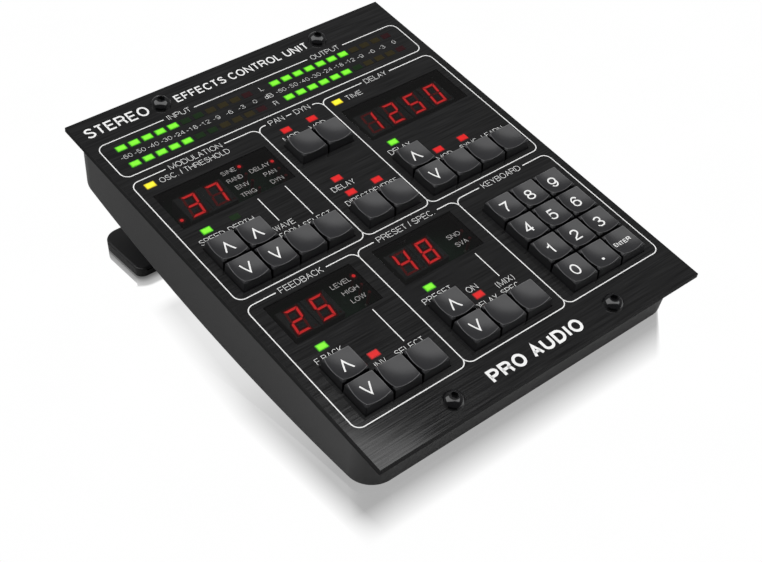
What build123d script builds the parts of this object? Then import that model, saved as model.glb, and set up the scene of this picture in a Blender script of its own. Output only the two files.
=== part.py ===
from build123d import *
import os
import math

# Desktop controller for an effects unit, on a stand.  Millimetres, +Z is up.
# Most pieces are laid out in the panel frame: x to the right, y to the rear,
# z along the panel's outward normal, origin in the middle of the panel's top.
# They are then tilted about X and lifted into the table frame, where z = 0 is
# the table and the origin is the middle of the footprint.

# ---- stance ---------------------------------------------------------------
TILT = 10.18            # panel slope in degrees, rear edge raised
LIFT = 34.25            # height of the panel centre above the table
SHIFT_Y = -0.199        # centres the footprint on the origin

# ---- front panel ----------------------------------------------------------
PANEL_W = 135.0
PANEL_D = 168.0
PANEL_T = 2.0
PANEL_CHAMFER = 0.25
CUT_OVER = 1.0          # overshoot of a cutter past the face it leaves by
PANEL_CUT_LOW = -PANEL_T - CUT_OVER

# ---- case -----------------------------------------------------------------
CASE_HALF_W = 66.8      # outer half width at the rim
CASE_Y0 = -80.3         # outer front wall at the rim
CASE_Y1 = 81.1          # outer rear wall at the rim
CASE_R = 9.6            # vertical corner radius
CASE_DRAFT = 2.7        # walls lean inwards going down (degrees)
CASE_WALL = 2.0
CASE_FLOOR = 2.6
CASE_REACH = 30.0       # depth of the raw prisms, past the underside
POST_LOW = -30.0        # posts and ribs start below the floor
BELLY_DEPTH = 26.2      # lowest line of the underside below the panel top
BELLY_R = 448.0         # radius of the underside, seen from the side
BELLY_FILLET = 0.8
BELLY_EDGE_Z = -17.0    # the underside edges lie wholly below this
PLATE_INSET = 5.0       # rim left round the underside plate
PLATE_T = 0.8
PLATE_GAP = 0.1
PLATE_PRISM_TOP = -PANEL_T - 10
RIB_T = 1.5             # floor ribs
CROSS_RIB_Y = -13.0
CROSS_RIB_TOP = -18.0
LONG_RIB_HALF_D = 80.0
LONG_RIB_TOP = -18.5

# ---- keys -----------------------------------------------------------------
KEY_W = 10.6            # skirt width
KEY_R = 0.35            # vertical corner radius
KEY_PITCH = 11.05
KEY_LOW = -1.5          # underside of the skirt
KEY_SHOULDER = 2.45     # where the sloped rim starts
KEY_TOP = 3.8           # height of the four corners
KEY_INSET = 0.55        # how far the rim leans in
KEY_HOLLOW_W = 8.6
KEY_HOLLOW_TOP = 1.1
DISH_R = 14.0           # finger dish
DISH_LOW = 2.25         # lowest point of the dish
KEY_GAP = 0.25          # clearance to the panel opening
HUB_R = 2.3             # collar round the top of the stem
STEM_R = 1.65
STEM_LOW = -6.4
STEM_TOP = 1.6
STEM_CLEAR = 0.05

# ---- board and what it carries --------------------------------------------
PCB_TOP = -8.0
PCB_T = 1.6
PCB_LOW = PCB_TOP - PCB_T
PCB_HALF_W = 62.5
PCB_HALF_D = 72.4
TONGUE_HALF_W = 11.0    # rear tongue of the board, under the socket
TONGUE_Y1 = 77.6
PCB_HOLE_R = 1.35
SWITCH_W = 6.0
SWITCH_TOP = -4.4
SWITCH_CHAMFER = 0.5
SWITCH_BORE_LOW = -7.2
USB_W = 7.6
USB_H = 2.8
USB_Y0 = 74.0
USB_Y1 = 79.6
USB_WALL = 0.4
USB_MOUTH_HALF_W = 3.3
USB_TONGUE_HALF_W = 2.6
USB_CLEAR = 0.3         # case opening round the socket
USB_RECESS_HALF_W = 6.0
# x0, x1, y0, y1, thickness of the chips under the board
CHIPS = [(-5, 5, 20, 30, 1.4), (18, 26, 18, 26, 1.0), (-30, -20, -4, 2, 1.5), (-4, 4, 62, 67, 1.6)]

# ---- windows, digits and lenses -------------------------------------------
WINDOW_T = 1.2
WINDOW_TOP = -0.10
WINDOW_LOW = WINDOW_TOP - WINDOW_T
WINDOW_LEDGE = 0.5
WINDOW_CLEAR = 0.1
WINDOW_CHAMFER = 0.12
DIGIT_W = 9.2
DIGIT_H = 11.4
DIGIT_TOP = -1.45
DIGIT_CHAMFER = 0.15
LENS_W = 3.6
LENS_H = 2.4
LENS_TOP = 0.05
LENS_LOW = -6.9
LENS_CLEAR = 0.05
DOT_R = 0.55
LED_T = 0.8
LENS_LED = (2.0, 1.25)  # width, depth of the chip LED under a lens
DOT_LED = (1.6, 0.8)    # the same under a dot pipe

# ---- fasteners ------------------------------------------------------------
SCREW_XY = [(-34.0, 77.0), (34.0, 77.0), (-34.0, -77.0), (34.0, -77.0)]
SCREW_HOLE_R = 1.65     # in the panel
HEAD_R = 3.4
HEAD_H = 2.4
HEAD_EDGE_H = 0.9       # upright edge under the dome
HEAD_TOP_R = 1.75       # flat land round the hexagon socket
HEX_AF = 2.5            # across flats
HEX_DEPTH = 1.4
SHANK_R = 1.45
SHANK_LOW = -8.0
INSERT_R = 2.1
INSERT_BORE_R = 1.5
INSERT_LOW = -7.0
INSERT_GROOVE_Z = (-3.6, -5.4)
INSERT_GROOVE = 0.25    # groove depth and half width
INSERT_SEAT_LOW = -7.2
SCREW_BORE_R = 1.6      # below the insert
SCREW_BORE_LOW = -9.5
BOSS_R = 3.6
BOSS_WEB_T = 2.0        # web from a boss to the nearest wall
PCB_SCREW_XY = [(-59.5, 69.3), (59.5, 69.3), (-59.5, -69.3), (59.5, -69.3),
                (0.0, 49.8), (0.0, -13.0)]
PCB_POST_R = 3.0
PCB_BORE_R = 1.25
PCB_BORE_LOW = -16.5
PCB_HEAD_R = 2.2
PCB_HEAD_H = 1.5
PCB_HEAD_CHAMFER = 0.4
PCB_SHANK_R = 1.2
PCB_SHANK_L = 6.0
SLOT_L = 2.6            # cross slot
SLOT_W = 0.44
SLOT_FLOOR = 0.8        # above the board
SHANK_OVERLAP = 0.1     # shanks run this far into their heads

# ---- rubber strip under the front edge (table frame) ----------------------
STRIP_HALF_W = 60.0
STRIP_Y0 = -73.6
STRIP_Y1 = -57.0
STRIP_R = 3.0
STRIP_RAW_H = 6.0       # before the case is cut away

# ---- stand (table frame) --------------------------------------------------
FOOT_HALF_W = 63.6
FOOT_Y0 = 51.7
FOOT_Y1 = 77.4
FOOT_R_FRONT = 3.0
FOOT_R_REAR = 6.0
FOOT_LOW = 0.5
FOOT_TOP = 4.0
FOOT_FILLET = 0.7
GROOVE_DEPTH = 0.8      # groove along the front face of the foot
GROOVE_Z0 = 2.75
GROOVE_Z1 = 3.15
SOLE_T = 1.1            # rubber sole, set 0.6 into the foot
SOLE_INSET = 1.8
SOLE_CLEAR = 0.05
RISER_HALF_W = 50.0     # half width of the saddle over the riser
RISER_END_INSET = 3.0   # riser ends lie this far inside the saddle's
RISER_Y = 65.0
RISER_LOW_Z = SOLE_T + 0.8
RISER_RAW_TOP = 40.0    # before it is cut to the saddle
RISER_LOW_T = 15.0      # riser thickness at the foot
RISER_HIGH_T = 8.0      # riser thickness at the raw top
RISER_FILLET = 2.5
RISER_SINK = 0.5        # riser stops this far below the case
SADDLE_Y = RISER_Y + 1.5    # panel frame
SADDLE_T = 3.0
SADDLE_GAP = 0.05
SADDLE_HALF_D = 13.0
MAGNET_X = (-38.0, -13.0, 13.0, 38.0)
MAGNET_R = 4.0
MAGNET_T = 1.5
MAGNET_SINK = 0.25      # magnet top below the underside line
MAGNET_CLEAR = 0.05


# ---------------------------------------------------------------------------
# Layout (panel frame)
# ---------------------------------------------------------------------------
def key_run(first, count):
    """Key centres one pitch apart."""
    return [first + KEY_PITCH * k for k in range(count)]


ROW_LO, ROW_HI = key_run(-3.7, 2)
ROW_PAN = 31.9
MOD_COLS = key_run(-55.08, 2) + key_run(-33.05, 2)
PAN_COLS = key_run(-5.27, 2)
DELAY_COLS = key_run(22.45, 4)
FB_COLS = key_run(-53.55, 3)
PRESET_COLS = key_run(-10.85, 3)
PAD_COLS = key_run(31.95, 3)
PAD_ROWS = key_run(-61.5, 4)

# name: key centre
KEYS = {
    "mod_speed_up": (MOD_COLS[0], ROW_HI),
    "mod_depth_up": (MOD_COLS[1], ROW_HI),
    "mod_speed_down": (MOD_COLS[0], ROW_LO),
    "mod_depth_down": (MOD_COLS[1], ROW_LO),
    "mod_wave_form": (MOD_COLS[2], ROW_LO),
    "mod_select": (MOD_COLS[3], ROW_LO),
    "pan_mod": (PAN_COLS[0], ROW_PAN),
    "dyn_mod": (PAN_COLS[1], ROW_PAN),
    "pan_direct": (PAN_COLS[0], ROW_LO),
    "dyn_reverse": (PAN_COLS[1], ROW_LO),
    "delay_up": (DELAY_COLS[0], ROW_HI),
    "delay_down": (DELAY_COLS[0], ROW_LO),
    "delay_mod": (DELAY_COLS[1], ROW_LO),
    "delay_sync": (DELAY_COLS[2], ROW_LO),
    "delay_learn": (DELAY_COLS[3], ROW_LO),
    "fb_up": (FB_COLS[0], PAD_ROWS[1]),
    "fb_down": (FB_COLS[0], PAD_ROWS[0]),
    "fb_invert": (FB_COLS[1], PAD_ROWS[0]),
    "fb_select": (FB_COLS[2], PAD_ROWS[0]),
    "preset_up": (PRESET_COLS[0], PAD_ROWS[1]),
    "preset_down": (PRESET_COLS[0], PAD_ROWS[0]),
    "preset_delay_on": (PRESET_COLS[1], PAD_ROWS[0]),
    "preset_special": (PRESET_COLS[2], PAD_ROWS[0]),
}
# keypad labels, front row first
PAD_LABELS = [("0", "point", "enter"), ("1", "2", "3"), ("4", "5", "6"), ("7", "8", "9")]
for row_y, labels in zip(PAD_ROWS, PAD_LABELS):
    for column_x, label in zip(PAD_COLS, labels):
        KEYS["pad_" + label] = (column_x, row_y)

# Panel openings: first column, last column, first row, last row (key centres)
OPENINGS = [
    (MOD_COLS[0], MOD_COLS[3], ROW_LO, ROW_LO),
    (MOD_COLS[0], MOD_COLS[1], ROW_LO, ROW_HI),
    (PAN_COLS[0], PAN_COLS[1], ROW_PAN, ROW_PAN),
    (PAN_COLS[0], PAN_COLS[1], ROW_LO, ROW_LO),
    (DELAY_COLS[0], DELAY_COLS[3], ROW_LO, ROW_LO),
    (DELAY_COLS[0], DELAY_COLS[0], ROW_LO, ROW_HI),
    (FB_COLS[0], FB_COLS[2], PAD_ROWS[0], PAD_ROWS[0]),
    (FB_COLS[0], FB_COLS[0], PAD_ROWS[0], PAD_ROWS[1]),
    (PRESET_COLS[0], PRESET_COLS[2], PAD_ROWS[0], PAD_ROWS[0]),
    (PRESET_COLS[0], PRESET_COLS[0], PAD_ROWS[0], PAD_ROWS[1]),
    (PAD_COLS[0], PAD_COLS[2], PAD_ROWS[0], PAD_ROWS[3]),
]

# x0, x1, y0, y1 of the window apertures
WINDOWS = {
    "modulation_window": (-60.9, -16.4, 23.2, 40.7),
    "delay_window": (16.6, 61.1, 23.2, 40.7),
    "feedback_window": (-59.4, -25.9, -34.6, -17.4),
    "preset_window": (-16.75, 16.75, -34.6, -17.4),
}

# centres of the digit modules
DIGITS = [
    (-51.26, 31.6), (-42.0, 31.6),
    (23.76, 31.6), (33.45, 31.6), (43.15, 31.6), (52.85, 31.6),
    (-52.6, -26.2), (-43.1, -26.2),
    (-9.5, -26.2), (-0.15, -26.2),
]

# centres of the round light pipes behind the windows
DOTS = [
    (-28.5, 38.4), (-28.5, 34.5), (-28.5, 30.7), (-28.5, 26.7),
    (-17.65, 34.6), (-17.65, 30.7), (-17.65, 26.7), (-58.35, 27.9),
    (-27.0, -21.4), (-27.0, -25.5), (-27.0, -29.4),
    (15.4, -25.5), (15.4, -29.4),
]

# two level meters, each of two rows: 7 green, 3 amber, 1 red
METER_ROWS = (65.4, 56.7)
METER_PITCH = 5.13
METER_X = (-57.3, 6.0)
METER_COLOURS = ["green"] * 7 + ["amber"] * 3 + ["red"]

LENSES = {"green": [], "amber": [], "red": [], "yellow": []}
for first_x in METER_X:
    for k, colour in enumerate(METER_COLOURS):
        LENSES[colour] += [(first_x + METER_PITCH * k, y) for y in METER_ROWS]
LENSES["yellow"] += [(-58.8, 45.5), (18.7, 45.5)]
LENSES["green"] += [(-55.1, 18.78), (-44.1, 18.78), (22.3, 18.78),
                    (-53.6, -39.27), (-10.9, -39.27)]
LENSES["red"] += [(-5.3, 43.34), (5.75, 43.34), (-5.3, 15.08), (-5.3, 7.4), (5.75, 7.4),
                  (33.4, 7.4), (44.5, 7.4), (-42.5, -50.4), (0.2, -50.4)]


# ---------------------------------------------------------------------------
# Helpers
# ---------------------------------------------------------------------------
def place(shape):
    """Panel frame -> table frame."""
    return Pos(0, SHIFT_Y, LIFT) * Rot(TILT, 0, 0) * shape


def save(name, shapes, tilted=True):
    """Write one STEP file; tilted shapes are given in the panel frame."""
    if not isinstance(shapes, (list, tuple)):
        shapes = [shapes]
    solids = []
    for shape in shapes:
        solids += list((place(shape) if tilted else shape).solids())
    piece = solids[0] if len(solids) == 1 else Compound(children=solids)
    piece.label = name
    export_step(piece, os.path.join("parts", name + ".step"))


def box_at(x, y, width, depth, z0, z1):
    return Pos(x, y, (z0 + z1) / 2) * Box(width, depth, z1 - z0)


def block(x0, x1, y0, y1, z0, z1):
    return box_at((x0 + x1) / 2, (y0 + y1) / 2, x1 - x0, y1 - y0, z0, z1)


def rod(x, y, radius, z0, z1):
    return Pos(x, y, (z0 + z1) / 2) * Cylinder(radius, z1 - z0)


def at_each(shape, places):
    return [Pos(x, y, 0) * shape for (x, y) in places]


def chamfer_top(shape, size):
    return chamfer(shape.edges().group_by(Axis.Z)[-1], size)


def case_prism(inset, radius, z_top, taper=0.0):
    """Case outline at the rim, drawn in by inset and pulled downwards."""
    outline = RectangleRounded(2 * (CASE_HALF_W - inset), CASE_Y1 - CASE_Y0 - 2 * inset, radius)
    outline = Pos(0, (CASE_Y0 + CASE_Y1) / 2, z_top) * outline
    return extrude(outline, amount=CASE_REACH, dir=(0, 0, -1), taper=taper)


def belly(radius):
    """Cylinder along x; everything above the underside of the given radius."""
    return Pos(0, 0, BELLY_R - BELLY_DEPTH) * Rot(0, 90, 0) * Cylinder(radius, 2 * PANEL_W)


# ---------------------------------------------------------------------------
# Panel, case and underside plate
# ---------------------------------------------------------------------------
def front_panel():
    panel = chamfer_top(box_at(0, 0, PANEL_W, PANEL_D, -PANEL_T, 0), PANEL_CHAMFER)
    cutters = []
    half = KEY_W / 2 + KEY_GAP
    for (xa, xb, ya, yb) in OPENINGS:
        cutters.append(block(xa - half, xb + half, ya - half, yb + half, PANEL_CUT_LOW, CUT_OVER))
    ledge = WINDOW_LEDGE
    for (x0, x1, y0, y1) in WINDOWS.values():
        cutters.append(block(x0, x1, y0, y1, WINDOW_LOW, CUT_OVER))
        cutters.append(block(x0 + ledge, x1 - ledge, y0 + ledge, y1 - ledge,
                             PANEL_CUT_LOW, CUT_OVER))
    slot = box_at(0, 0, LENS_W + 2 * LENS_CLEAR, LENS_H + 2 * LENS_CLEAR, PANEL_CUT_LOW, CUT_OVER)
    for places in LENSES.values():
        cutters += at_each(slot, places)
    cutters += at_each(rod(0, 0, SCREW_HOLE_R, PANEL_CUT_LOW, CUT_OVER), SCREW_XY)
    return panel - cutters


def case_block():
    """Solid outer form of the case, edges sharp."""
    return case_prism(0, CASE_R, -PANEL_T, CASE_DRAFT) & belly(BELLY_R)


def case_cavity():
    """Inside of the case, less the bosses, posts and ribs that stand in it."""
    cavity = case_prism(CASE_WALL, CASE_R - CASE_WALL, -PANEL_T, CASE_DRAFT)
    cavity = cavity & belly(BELLY_R - CASE_FLOOR)
    posts = []
    for (x, y) in SCREW_XY:
        wall_y = CASE_Y1 if y > 0 else CASE_Y0
        posts.append(rod(x, y, BOSS_R, POST_LOW, -PANEL_T))
        posts.append(block(x - BOSS_WEB_T / 2, x + BOSS_WEB_T / 2, min(y, wall_y), max(y, wall_y),
                           POST_LOW, -PANEL_T))
    posts += at_each(rod(0, 0, PCB_POST_R, POST_LOW, PCB_LOW), PCB_SCREW_XY)
    posts.append(box_at(0, CROSS_RIB_Y, 2 * CASE_HALF_W, RIB_T, POST_LOW, CROSS_RIB_TOP))
    posts.append(box_at(0, 0, RIB_T, 2 * LONG_RIB_HALF_D, POST_LOW, LONG_RIB_TOP))
    return cavity - posts


def case_shell():
    outer = case_block()
    low_edges = [e for e in outer.edges() if e.bounding_box().max.Z < BELLY_EDGE_Z]
    # The fillet can fail on the drafted corners; the edge is then left sharp.
    try:
        soft = fillet(low_edges, BELLY_FILLET)
        if soft.is_valid and len(soft.solids()) == 1:
            outer = soft
    except Exception as err:
        print("underside edge left sharp:", err)
    case = outer - case_cavity()
    case = case - (case_prism(PLATE_INSET, CASE_R, PLATE_PRISM_TOP) - belly(BELLY_R - PLATE_T))

    cutters = []
    for (x, y) in SCREW_XY:
        cutters.append(rod(x, y, INSERT_R, INSERT_SEAT_LOW, CUT_OVER))
        cutters.append(rod(x, y, SCREW_BORE_R, SCREW_BORE_LOW, CUT_OVER))
    cutters += at_each(rod(0, 0, PCB_BORE_R, PCB_BORE_LOW, CUT_OVER), PCB_SCREW_XY)
    # socket opening through the rear wall, and the wider recess outside it
    half = USB_W / 2 + USB_CLEAR
    cutters.append(block(-half, half, 78, 85, PCB_TOP - USB_CLEAR, PCB_TOP + USB_H + USB_CLEAR))
    cutters.append(block(-USB_RECESS_HALF_W, USB_RECESS_HALF_W, 80, 85,
                         PCB_TOP - 2.1, PCB_TOP + USB_H + 1.9))
    return case - cutters


def base_plate():
    """Plate let into the underside."""
    plate = case_prism(PLATE_INSET + PLATE_GAP, CASE_R - PLATE_GAP, PLATE_PRISM_TOP)
    return (plate & belly(BELLY_R)) - belly(BELLY_R - PLATE_T)


# ---------------------------------------------------------------------------
# Panel screws and their inserts
# ---------------------------------------------------------------------------
def panel_screw():
    """Button head: spherical dome on a short upright edge, flat land on top."""
    dome_h = HEAD_H - HEAD_EDGE_H
    centre_drop = (HEAD_R ** 2 - HEAD_TOP_R ** 2 + dome_h ** 2) / (2 * dome_h)
    dome = Pos(0, 0, HEAD_H - centre_drop) * Sphere(math.hypot(centre_drop, HEAD_TOP_R))
    head = rod(0, 0, HEAD_R, 0, HEAD_H) & dome
    screw = head + rod(0, 0, SHANK_R, SHANK_LOW, SHANK_OVERLAP)
    hexagon = RegularPolygon(radius=HEX_AF / math.sqrt(3), side_count=6)
    return screw - Pos(0, 0, HEAD_H - HEX_DEPTH) * extrude(hexagon, amount=HEX_DEPTH + 0.05)


def screw_insert():
    """Sleeve with two grooves round it."""
    insert = rod(0, 0, INSERT_R, INSERT_LOW, -PANEL_T) - rod(0, 0, INSERT_BORE_R, -8, 0)
    for z in INSERT_GROOVE_Z:
        ring = rod(0, 0, 3, z - INSERT_GROOVE, z + INSERT_GROOVE)
        insert = insert - (ring - rod(0, 0, INSERT_R - INSERT_GROOVE, z - 1, z + 1))
    return insert


# ---------------------------------------------------------------------------
# Keys
# ---------------------------------------------------------------------------
def keycap():
    """Dished square cap on a round stem that runs in the switch below."""
    plan = RectangleRounded(KEY_W, KEY_W, KEY_R)
    rim_h = KEY_TOP - KEY_SHOULDER
    skirt = extrude(Pos(0, 0, KEY_LOW) * plan, amount=KEY_SHOULDER - KEY_LOW)
    rim = extrude(Pos(0, 0, KEY_SHOULDER) * plan, amount=rim_h,
                  taper=math.degrees(math.atan(KEY_INSET / rim_h)))
    cap = skirt + rim
    cap = cap - Pos(0, 0, DISH_LOW + DISH_R) * Sphere(DISH_R)
    cap = cap - box_at(0, 0, KEY_HOLLOW_W, KEY_HOLLOW_W, KEY_LOW - CUT_OVER, KEY_HOLLOW_TOP)
    cap = cap + rod(0, 0, HUB_R, KEY_LOW, STEM_TOP) + rod(0, 0, STEM_R, STEM_LOW, STEM_TOP)
    return cap.clean()


def tact_switch():
    housing = box_at(0, 0, SWITCH_W, SWITCH_W, PCB_TOP, SWITCH_TOP)
    housing = chamfer(housing.edges().filter_by(Axis.Z), SWITCH_CHAMFER)
    return housing - rod(0, 0, STEM_R + STEM_CLEAR, SWITCH_BORE_LOW, 0)


# ---------------------------------------------------------------------------
# Board, displays, lights and socket
# ---------------------------------------------------------------------------
def main_pcb():
    pcb = box_at(0, 0, 2 * PCB_HALF_W, 2 * PCB_HALF_D, PCB_LOW, PCB_TOP)
    pcb = pcb + block(-TONGUE_HALF_W, TONGUE_HALF_W, PCB_HALF_D - 1, TONGUE_Y1, PCB_LOW, PCB_TOP)
    return pcb - at_each(rod(0, 0, PCB_HOLE_R, -12, -6), PCB_SCREW_XY)


def pcb_screw():
    head = chamfer_top(rod(0, 0, PCB_HEAD_R, PCB_TOP, PCB_TOP + PCB_HEAD_H), PCB_HEAD_CHAMFER)
    screw = head + rod(0, 0, PCB_SHANK_R, PCB_TOP - PCB_SHANK_L, PCB_TOP + SHANK_OVERLAP)
    for width, depth in ((SLOT_L, SLOT_W), (SLOT_W, SLOT_L)):
        screw = screw - box_at(0, 0, width, depth, PCB_TOP + SLOT_FLOOR, PCB_TOP + 3)
    return screw


def digit_module():
    return chamfer_top(box_at(0, 0, DIGIT_W, DIGIT_H, PCB_TOP, DIGIT_TOP), DIGIT_CHAMFER)


def window_pane(x0, x1, y0, y1):
    gap = WINDOW_CLEAR
    pane = block(x0 + gap, x1 - gap, y0 + gap, y1 - gap, WINDOW_LOW, WINDOW_TOP)
    return chamfer_top(pane, WINDOW_CHAMFER)


def chip_leds():
    """One under each lens and each dot pipe."""
    leds = []
    for places in LENSES.values():
        leds += at_each(box_at(0, 0, *LENS_LED, PCB_TOP, PCB_TOP + LED_T), places)
    return leds + at_each(box_at(0, 0, *DOT_LED, PCB_TOP, PCB_TOP + LED_T), DOTS)


def usb_socket():
    usb = block(-USB_W / 2, USB_W / 2, USB_Y0, USB_Y1, PCB_TOP, PCB_TOP + USB_H)
    usb = chamfer(usb.edges().filter_by(Axis.Y).group_by(Axis.Z)[-1], 0.5)
    usb = usb - block(-USB_MOUTH_HALF_W, USB_MOUTH_HALF_W, 76.0, 80,
                      PCB_TOP + USB_WALL, PCB_TOP + USB_H - USB_WALL)
    return usb + block(-USB_TONGUE_HALF_W, USB_TONGUE_HALF_W, 75.5, 79.0,
                       PCB_TOP + 1.5, PCB_TOP + 2.0)


# ---------------------------------------------------------------------------
# Front strip and stand (table frame)
# ---------------------------------------------------------------------------
def front_foot_strip():
    """The part of a rounded slab that lies below the case."""
    plan = RectangleRounded(2 * STRIP_HALF_W, STRIP_Y1 - STRIP_Y0, STRIP_R)
    slab = Pos(0, (STRIP_Y0 + STRIP_Y1) / 2, 0) * extrude(plan, amount=STRIP_RAW_H)
    strip = slab - place(case_block())
    return min(strip.solids(), key=lambda s: s.center().Z)


def foot_plan(inset):
    plan = Rectangle(2 * (FOOT_HALF_W - inset), FOOT_Y1 - FOOT_Y0 - 2 * inset)
    plan = fillet(plan.vertices().filter_by(lambda v: v.Y > 0), FOOT_R_REAR - inset)
    plan = fillet(plan.vertices().filter_by(lambda v: v.Y < 0), FOOT_R_FRONT - inset)
    return Pos(0, (FOOT_Y0 + FOOT_Y1) / 2, 0) * plan


def stand_foot():
    foot = Pos(0, 0, FOOT_LOW) * extrude(foot_plan(0), amount=FOOT_TOP - FOOT_LOW)
    foot = fillet(foot.edges().group_by(Axis.Z)[-1], FOOT_FILLET)
    groove_half_w = FOOT_HALF_W - FOOT_R_FRONT
    foot = foot - block(-groove_half_w, groove_half_w, FOOT_Y0 - CUT_OVER,
                        FOOT_Y0 + GROOVE_DEPTH, GROOVE_Z0, GROOVE_Z1)
    return foot - extrude(foot_plan(SOLE_INSET - SOLE_CLEAR), amount=SOLE_T)


def stand_riser():
    """Upright that thins towards the top, cut off just under the case."""
    side = Polyline((RISER_Y - RISER_LOW_T / 2, RISER_LOW_Z),
                    (RISER_Y + RISER_LOW_T / 2, RISER_LOW_Z),
                    (RISER_Y + RISER_HIGH_T / 2, RISER_RAW_TOP),
                    (RISER_Y - RISER_HIGH_T / 2, RISER_RAW_TOP), close=True)
    half_w = RISER_HALF_W - RISER_END_INSET
    riser = extrude(Plane.YZ * make_face(side), amount=half_w, both=True)
    # the four upright edges at the two ends
    riser = fillet(riser.edges().filter_by(lambda e: abs(e.center().X) > half_w - 1
                                           and e.bounding_box().size.Z > 20), RISER_FILLET)
    return riser - place(belly(BELLY_R + RISER_SINK))


def stand_saddle():
    """Curved pad that follows the underside of the case."""
    top_r = BELLY_R + SADDLE_GAP
    return place(Pos(0, SADDLE_Y, -20) * Box(2 * RISER_HALF_W, 2 * SADDLE_HALF_D, 30)
                 & (belly(top_r + SADDLE_T) - belly(top_r)))


def magnet_disc(x, radius, height, rise=0.0):
    """Disc square to the underside, centred on a magnet's middle plus rise."""
    seat_z = BELLY_R - BELLY_DEPTH - math.sqrt(BELLY_R ** 2 - SADDLE_Y ** 2)
    slope = math.degrees(math.asin(SADDLE_Y / BELLY_R))
    seat = Pos(x, SADDLE_Y, seat_z) * Rot(slope, 0, 0)
    return place(seat * Pos(0, 0, rise - MAGNET_SINK - MAGNET_T / 2) * Cylinder(radius, height))


def tilt_stand():
    stand = stand_foot() + stand_riser() + stand_saddle()
    for x in MAGNET_X:
        # pocket with the magnet's floor, open 2 mm above its top
        stand = stand - magnet_disc(x, MAGNET_R + MAGNET_CLEAR, MAGNET_T + 2.0, rise=1.0)
    return stand


# ---------------------------------------------------------------------------
# Write the pieces
# ---------------------------------------------------------------------------
os.makedirs("parts", exist_ok=True)

save("front_panel", front_panel())
save("case_shell", case_shell())
save("base_plate", base_plate())
save("panel_screws", at_each(panel_screw(), SCREW_XY))
save("screw_inserts", at_each(screw_insert(), SCREW_XY))

key = keycap()
for name, (x, y) in KEYS.items():
    save("key_" + name, Pos(x, y, 0) * key)

save("main_pcb", main_pcb())
save("pcb_screws", at_each(pcb_screw(), PCB_SCREW_XY))
save("tact_switches", at_each(tact_switch(), KEYS.values()))
save("digit_modules", at_each(digit_module(), DIGITS))
for name, bounds in WINDOWS.items():
    save(name, window_pane(*bounds))
for colour, places in LENSES.items():
    save("lenses_" + colour, at_each(box_at(0, 0, LENS_W, LENS_H, LENS_LOW, LENS_TOP), places))
save("window_dot_pipes", at_each(rod(0, 0, DOT_R, LENS_LOW, DIGIT_TOP), DOTS))
save("chip_leds", chip_leds())
save("controller_chips", [block(x0, x1, y0, y1, PCB_LOW - thickness, PCB_LOW)
                          for (x0, x1, y0, y1, thickness) in CHIPS])
save("usb_socket", usb_socket())

save("front_foot_strip", front_foot_strip(), tilted=False)
save("tilt_stand", tilt_stand(), tilted=False)
save("stand_magnets", [magnet_disc(x, MAGNET_R, MAGNET_T) for x in MAGNET_X], tilted=False)
save("stand_sole", extrude(foot_plan(SOLE_INSET), amount=SOLE_T), tilted=False)
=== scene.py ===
# Desktop control unit for stereo effects: a sloping front panel with dished keycaps, lamps,
# seven-segment digits behind smoked windows and white lettering, on a case with a tilt stand.
#
# Panel frame, in mm: x to the right, y up the slope towards the back, z out of the panel face.
# World frame, in m: the floor is z = 0, the front of the unit faces -Y.
import bpy
import math
from functools import partial
from mathutils import Vector, Matrix


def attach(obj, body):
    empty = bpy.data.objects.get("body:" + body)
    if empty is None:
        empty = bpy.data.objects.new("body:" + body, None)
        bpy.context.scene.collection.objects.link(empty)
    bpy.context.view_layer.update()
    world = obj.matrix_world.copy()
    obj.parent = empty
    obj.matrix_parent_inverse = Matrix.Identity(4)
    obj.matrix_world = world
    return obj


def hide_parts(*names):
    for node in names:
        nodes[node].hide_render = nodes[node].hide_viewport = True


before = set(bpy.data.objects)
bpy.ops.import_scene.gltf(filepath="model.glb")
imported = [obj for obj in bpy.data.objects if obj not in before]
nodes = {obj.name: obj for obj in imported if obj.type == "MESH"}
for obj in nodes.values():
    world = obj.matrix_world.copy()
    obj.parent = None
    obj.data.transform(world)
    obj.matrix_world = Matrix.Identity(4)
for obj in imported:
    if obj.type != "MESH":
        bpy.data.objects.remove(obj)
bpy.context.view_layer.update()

scene = bpy.context.scene

TILT = math.radians(10.18)          # slope of the panel
COS_TILT, SIN_TILT = math.cos(TILT), math.sin(TILT)
LIFT, SHIFT_Y = 34.25, -0.199       # panel origin in the world, mm

# Bottom and top z of the printed ink
PANEL_INK = (-0.01, 0.03)
WINDOW_INK = (-0.11, -0.08)
KEY_INK = (-0.03, 0.022)            # above the dished key top


def turned(x, y, z):
    """A direction in the panel frame, turned into the world frame."""
    return Vector((x, y * COS_TILT - z * SIN_TILT, y * SIN_TILT + z * COS_TILT))


def to_world(x, y, z):
    """A point in the panel frame (mm) as a point in the world (m)."""
    return Vector((x, SHIFT_Y + y * COS_TILT - z * SIN_TILT,
                   LIFT + y * SIN_TILT + z * COS_TILT)) / 1000.0


# ---------------------------------------------------------------------------
# Mesh builder
# ---------------------------------------------------------------------------
def flat(x, y):
    return 0.0


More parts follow.
